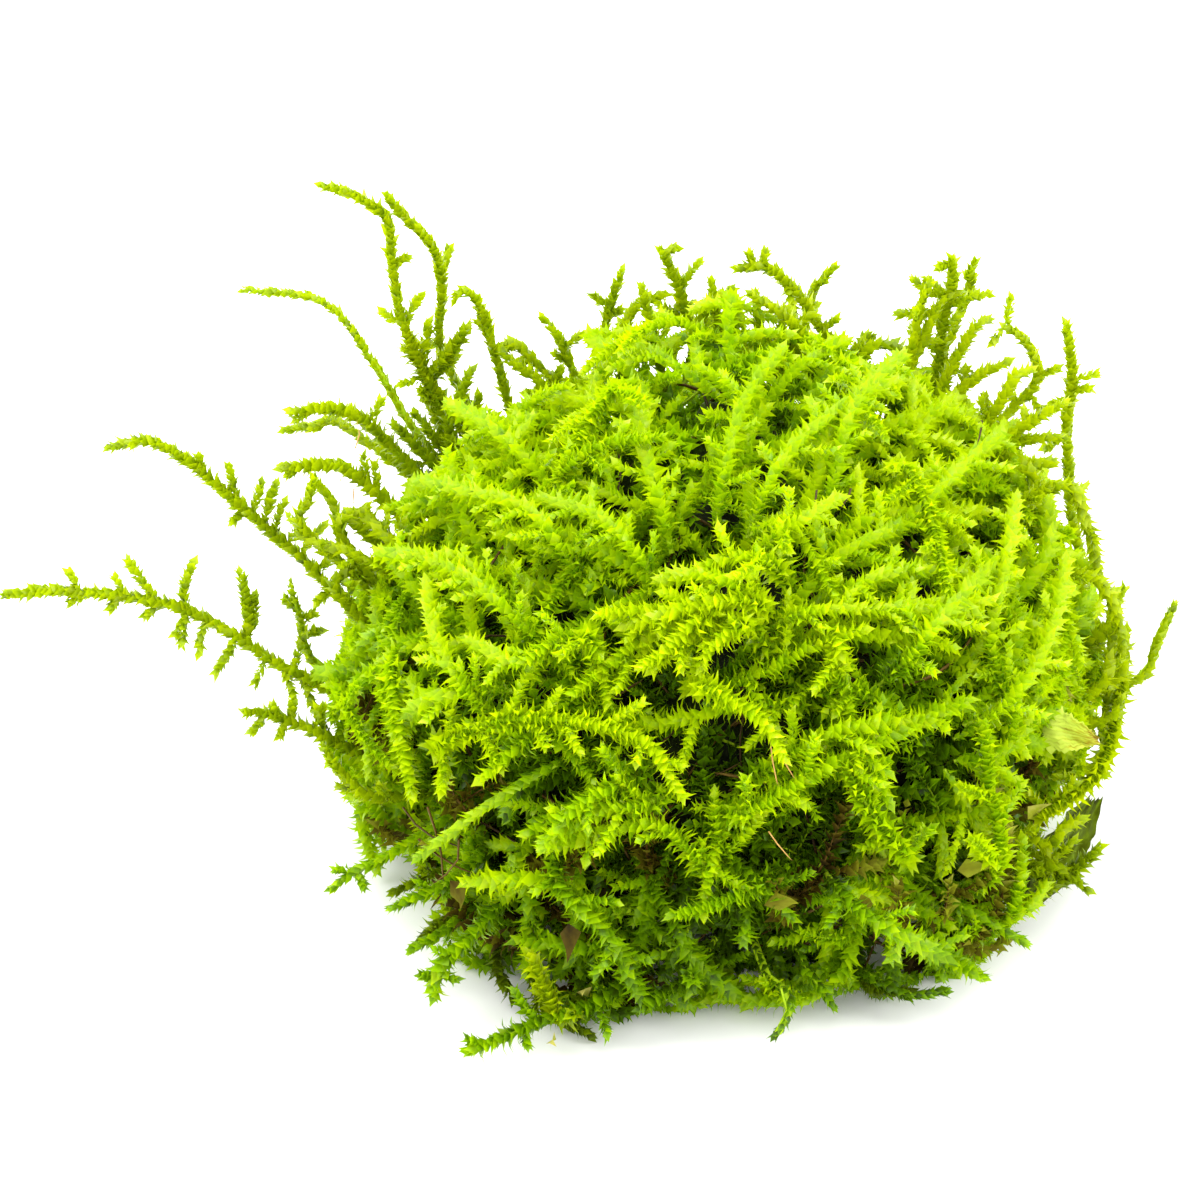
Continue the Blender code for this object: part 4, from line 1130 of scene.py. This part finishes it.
# lone dead leaves: length, half width as a share of it, tone, foot, and the ways along and out
scraps = [
    (2.4, 0.28, 0.2, (-9.8, -23.2, 10.2), (0.1, -0.2, -1), (-0.2, -1, 0.1)),
    (1.9, 0.3, 0.95, (16.2, -13.4, 12.6), (1, 0.3, -0.1), (0.3, -0.6, 0.8)),
    (2.4, 0.26, 0.7, (15.0, -17.6, 9.8), (1, 0.5, -0.2), (0.3, -0.8, 0.6)),
    (2.6, 0.24, 0.55, (2.6, -22.6, 11.2), (1, 0.1, 0.2), (0.1, -0.9, 0.5)),
    (2.0, 0.28, 0.6, (8.4, -21.6, 10.2), (0.8, -0.1, 0.5), (0, -0.9, 0.5)),
    (2.2, 0.28, 0.45, (-17.4, -17.4, 8.8), (0.6, -0.5, -0.6), (-0.4, -0.8, 0.4)),
    (2.2, 0.26, 0.6, (-19.2, -16.6, 10.4), (0.3, -0.2, 1), (-0.6, -0.8, 0.1)),
    (1.8, 0.3, 0.75, (19.6, -12.4, 9.6), (0.6, 0.8, 0.3), (0.6, -0.7, 0.4)),
    (1.8, 0.3, 0.9, (-8.6, -22.6, 3.4), (-0.3, -0.2, 1), (0, -1, 0.2)),
    (1.6, 0.3, 0.9, (-10.6, -24.4, 1.4), (-0.3, -0.4, 0.4), (0, -1, 0.5)),
]


# grown ones: how many, how deep they start, their lengths in mm, and the rest as for the layers
oldShoots = {  # dead and olive ones round the foot
    "shoots": 90, "start": (-5.5, -4.0), "length": (6, 13), "hover": (-3.0, -0.6), "lift": (-0.5, 0.8),
    "leaf": (0.9, 1.3), "perMm": 7.0, "spread": (25, 45), "tone": (0.35, 0.75),
}
deadStems = {  # bare ones deep inside
    "stems": 260, "start": (-6.6, -4.2), "length": (4, 12), "hover": (-5.6, -2.8),
    "thick": (0.08, 0.18), "tone": (0.02, 0.35),
}


def addScraps(bunch):
    long, half, tone, foot, along, out = (np.array(part, float) for part in zip(*scraps))
    inner = -unit(out - unit(along) * dot(out, unit(along)))
    bunch.leaves.append((foot, unit(along), inner, long, np.full(len(long), 0.6), tone, half))


def addOldShoots(bunch):
    n = oldShoots["shoots"]
    turn = chance.uniform(0, 2 * math.pi, n)
    ways = unit(np.stack([np.cos(turn), np.sin(turn), chance.uniform(-0.5, -0.1, n)], 1))
    starts = footPoints(ways, chance.uniform(*oldShoots["start"], n))
    _, out = domeDepth(starts)
    heading = unit(out + chance.normal(0, 0.7, (n, 3)))
    lengths = chance.uniform(*oldShoots["length"], n)
    hover = chance.uniform(*oldShoots["hover"], n)
    lift = chance.uniform(*oldShoots["lift"], n)
    curl, droop = chance.normal(0, 0.08, n), np.full(n, 0.08)
    for path in growPaths(starts, heading, lengths, hover, lift, curl, droop):
        style = dict(leafy, leaf=chance.uniform(*oldShoots["leaf"]), perMm=oldShoots["perMm"])
        style.update(spread=chance.uniform(*oldShoots["spread"]))
        addLeaves(bunch, path, style, chance.uniform(*oldShoots["tone"]))
        addStem(bunch, path, 0.15, 0.3)


def addDeadStems(bunch):
    n = deadStems["stems"]
    starts = footPoints(spreadWays(n, -0.55, 0.1), chance.uniform(*deadStems["start"], n))
    lengths = chance.uniform(*deadStems["length"], n)
    hover = chance.uniform(*deadStems["hover"], n)
    heading = chance.normal(0, 1, (n, 3))
    curl, none = chance.normal(0, 0.15, n), np.zeros(n)
    for path in growPaths(starts, heading, lengths, hover, none, curl, none):
        thick, tone = chance.uniform(*deadStems["thick"]), chance.uniform(*deadStems["tone"])
        addStem(bunch, path, thick, tone, taper=0.4)


def makeOldGrowth():
    bunch = Bunch()
    for thick, tone, *route in looseStems:
        addStem(bunch, evenRoute(route), thick, tone, taper=0.5)
    addScraps(bunch)
    addOldShoots(bunch)
    addDeadStems(bunch)
    makePiece("oldStems", bunch, oldFinishes, ["old_stem_mat"])


chance = np.random.default_rng(19)
makeOldMat()
makeOldGrowth()
print("old stems made")


# the dead leaves: the solid's length, width and middle, and the ways it points and faces
deadLeaves = {
    "rimLeaf": {
        "node": "dead_leaf_rim", "long": 11.4, "wide": 2.8, "middle": (21.9, -8.4, 3.3),
        "along": (0.45, 0.88, 0.12), "face": (0.55, -0.35, 0.9), "cup": 0.9, "curl": 0.7,
        "fan": 0.0, "ribs": 2, "ribDepth": 0.12, "stops": [
            (0.2, (0.050, 0.065, 0.002)), (0.5, (0.115, 0.165, 0.004)), (0.8, (0.230, 0.360, 0.010)),
        ],
    },
    "fanLeaf": {
        "node": "dead_leaf_fan", "long": 3.7, "wide": 2.9, "middle": (22.5, -8.2, 13.2),
        "along": (-0.95, 0.0, 0.3), "face": (0.3, -0.8, 0.5), "cup": 0.4, "curl": 0.4,
        "fan": 1.0, "ribs": 5, "ribDepth": 0.4, "stops": [
            (0.15, (0.300, 0.150, 0.008)), (0.4, (0.480, 0.480, 0.030)), (0.8, (0.600, 0.720, 0.080)),
        ],
    },
}


def makeDeadLeafFinish(name, leaf):
    n = Nodes(name)
    place, across, upward = n.mapPlace()
    side = n.around(across, 0.5, math.pi * leaf["ribs"] * 2)
    wander = n.around(n.noise(place, 4, 2.0), 0.5, 2.5)
    rib = n.math("POWER", n.math("ABSOLUTE", n.math("SINE", n.total(side, wander))), 0.5)
    blotch = n.around(n.noise(place, 6, 6.0), 0.5, 1.5)
    foot = n.around(upward, 0.45, 0.9 * leaf["fan"])  # browner at its foot
    tone = n.total(n.math("MULTIPLY", rib, leaf["ribDepth"]), n.total(blotch, 0.32))
    tone = n.math("ADD", tone, foot, clamp=True)
    surface, body = n.shader(n.ramp(tone, leaf["stops"]), 0.55, 0.2, 0.45)
    n.bump(rib, body, 0.4, 0.0002)
    return n.finish(surface)


def makeDeadLeaf(name, leaf):
    rows, columns = 40, 16
    u, v = np.meshgrid(np.linspace(0, 1, rows), np.linspace(-1, 1, columns), indexing="ij")
    u, v = u.ravel(), v.ravel()
    along = unit(np.array(leaf["along"]))
    face = unit(np.array(leaf["face"]) - along * np.dot(leaf["face"], along))
    across = np.cross(face, along)
    ragged = 1 + 0.08 * np.sin(23 * u + 3 * np.sign(v)) + 0.05 * np.sin(51 * u + 1.3)
    blade = 0.06 + np.sin(math.pi * np.clip(u * 0.92 + 0.04, 0, 1)) ** 0.9 * 0.94
    fan = 0.1 + 0.9 * u**0.8
    half = leaf["wide"] / 2 * (blade * (1 - leaf["fan"]) + fan * leaf["fan"]) * ragged
    wave = 0.25 * np.sin(9 * u + 2.2 * v) + 0.12 * np.sin(21 * u * v + 1)
    height = leaf["cup"] * (v**2 - 0.4) - leaf["curl"] * (2 * u - 1) ** 2 + wave
    reach = (u - 0.5 - 0.22 * leaf["fan"] * u * v**2 + 0.02 * np.sin(17 * v)) * leaf["long"]
    points = np.array(leaf["middle"]) + np.outer(reach, along)
    points = points + across * (v * half)[:, None] + face * height[:, None]
    points[:, 2] = np.maximum(points[:, 2], floorClear / 2)
    i, j = (k.ravel() for k in np.meshgrid(np.arange(rows - 1), np.arange(columns - 1), indexing="ij"))
    a = i * columns + j
    faces = np.stack([a, a + 1, a + columns + 1, a + columns], 1)
    spots = np.stack([0.5 + 0.48 * v, 0.02 + 0.96 * u], 1)[faces].reshape(-1, 2)
    mesh = meshFrom(name, [(points, faces, spots, 0)])
    linkMesh(name, mesh, [makeDeadLeafFinish(name, leaf)], [leaf["node"]])


for name, leaf in deadLeaves.items():
    makeDeadLeaf(name, leaf)
print("dead leaves made")


# the stage
stage = {
    "aim": (-7.8, 8.65, 10.3),
    "elevation": 40,
    "across": 78.0,  # width of the view where it is aimed
    "lens": 500,
    "world": 1.77,
    "floor": 3.0,  # metres from its middle to its edge
    "floorStops": [(0.3, (0.87, 0.87, 0.86)), (0.7, (0.9, 0.9, 0.89))],
    "lampAim": (0, 0, 0.012),
    "lamps": {  # place and size in metres, and power in watts
        "back box": ((-0.10, 0.30, 0.30), 0.30, 1.9),
        "top box": ((0.02, 0.04, 0.50), 0.30, 1.3),
        "left box": ((-0.36, -0.02, 0.24), 0.22, 0.9),
        "right box": ((0.34, -0.06, 0.24), 0.22, 1.1),
    },
}


def makeFloor(scene):
    size = stage["floor"]
    mesh = bpy.data.meshes.new("floor")
    corners = [(-size, -size, 0), (size, -size, 0), (size, size, 0), (-size, size, 0)]
    mesh.from_pydata(corners, [], [(0, 1, 2, 3)])
    floor = bpy.data.objects.new("floor", mesh)
    scene.collection.objects.link(floor)
    n = Nodes("pale floor")
    tint = n.ramp(n.noise(n.objectPlace(), 3), stage["floorStops"])
    mesh.materials.append(n.finish(n.shader(tint, 0.7)[0]))


def makeWorld(scene):
    world = bpy.data.worlds.new("studio")
    world.use_nodes = True
    sky = world.node_tree.nodes["Background"]
    sky.inputs["Color"].default_value = (1, 1, 1, 1)
    sky.inputs["Strength"].default_value = stage["world"]
    scene.world = world


def makeCamera(scene):
    camera = bpy.data.objects.new("camera", bpy.data.cameras.new("camera"))
    camera.data.lens = stage["lens"]
    camera.data.clip_start = 0.01
    tilt = math.radians(stage["elevation"])
    distance = stage["across"] * mm * stage["lens"] / camera.data.sensor_width
    back = Vector((0, -math.cos(tilt), math.sin(tilt)))
    camera.location = Vector(stage["aim"]) * mm + back * distance
    camera.rotation_euler = (math.pi / 2 - tilt, 0, 0)
    scene.collection.objects.link(camera)
    scene.camera = camera


def makeLamps(scene):
    for name, (place, wide, power) in stage["lamps"].items():
        lamp = bpy.data.objects.new(name, bpy.data.lights.new(name, "AREA"))
        lamp.data.size = wide
        lamp.data.energy = power
        lamp.location = place
        toClump = Vector(stage["lampAim"]) - Vector(place)
        lamp.rotation_euler = toClump.to_track_quat("-Z", "Y").to_euler()
        scene.collection.objects.link(lamp)


def makeStage():
    scene = bpy.context.scene
    makeFloor(scene)
    makeWorld(scene)
    makeCamera(scene)
    makeLamps(scene)
    scene.view_settings.view_transform = "Standard"


makeStage()
print("stage ready")
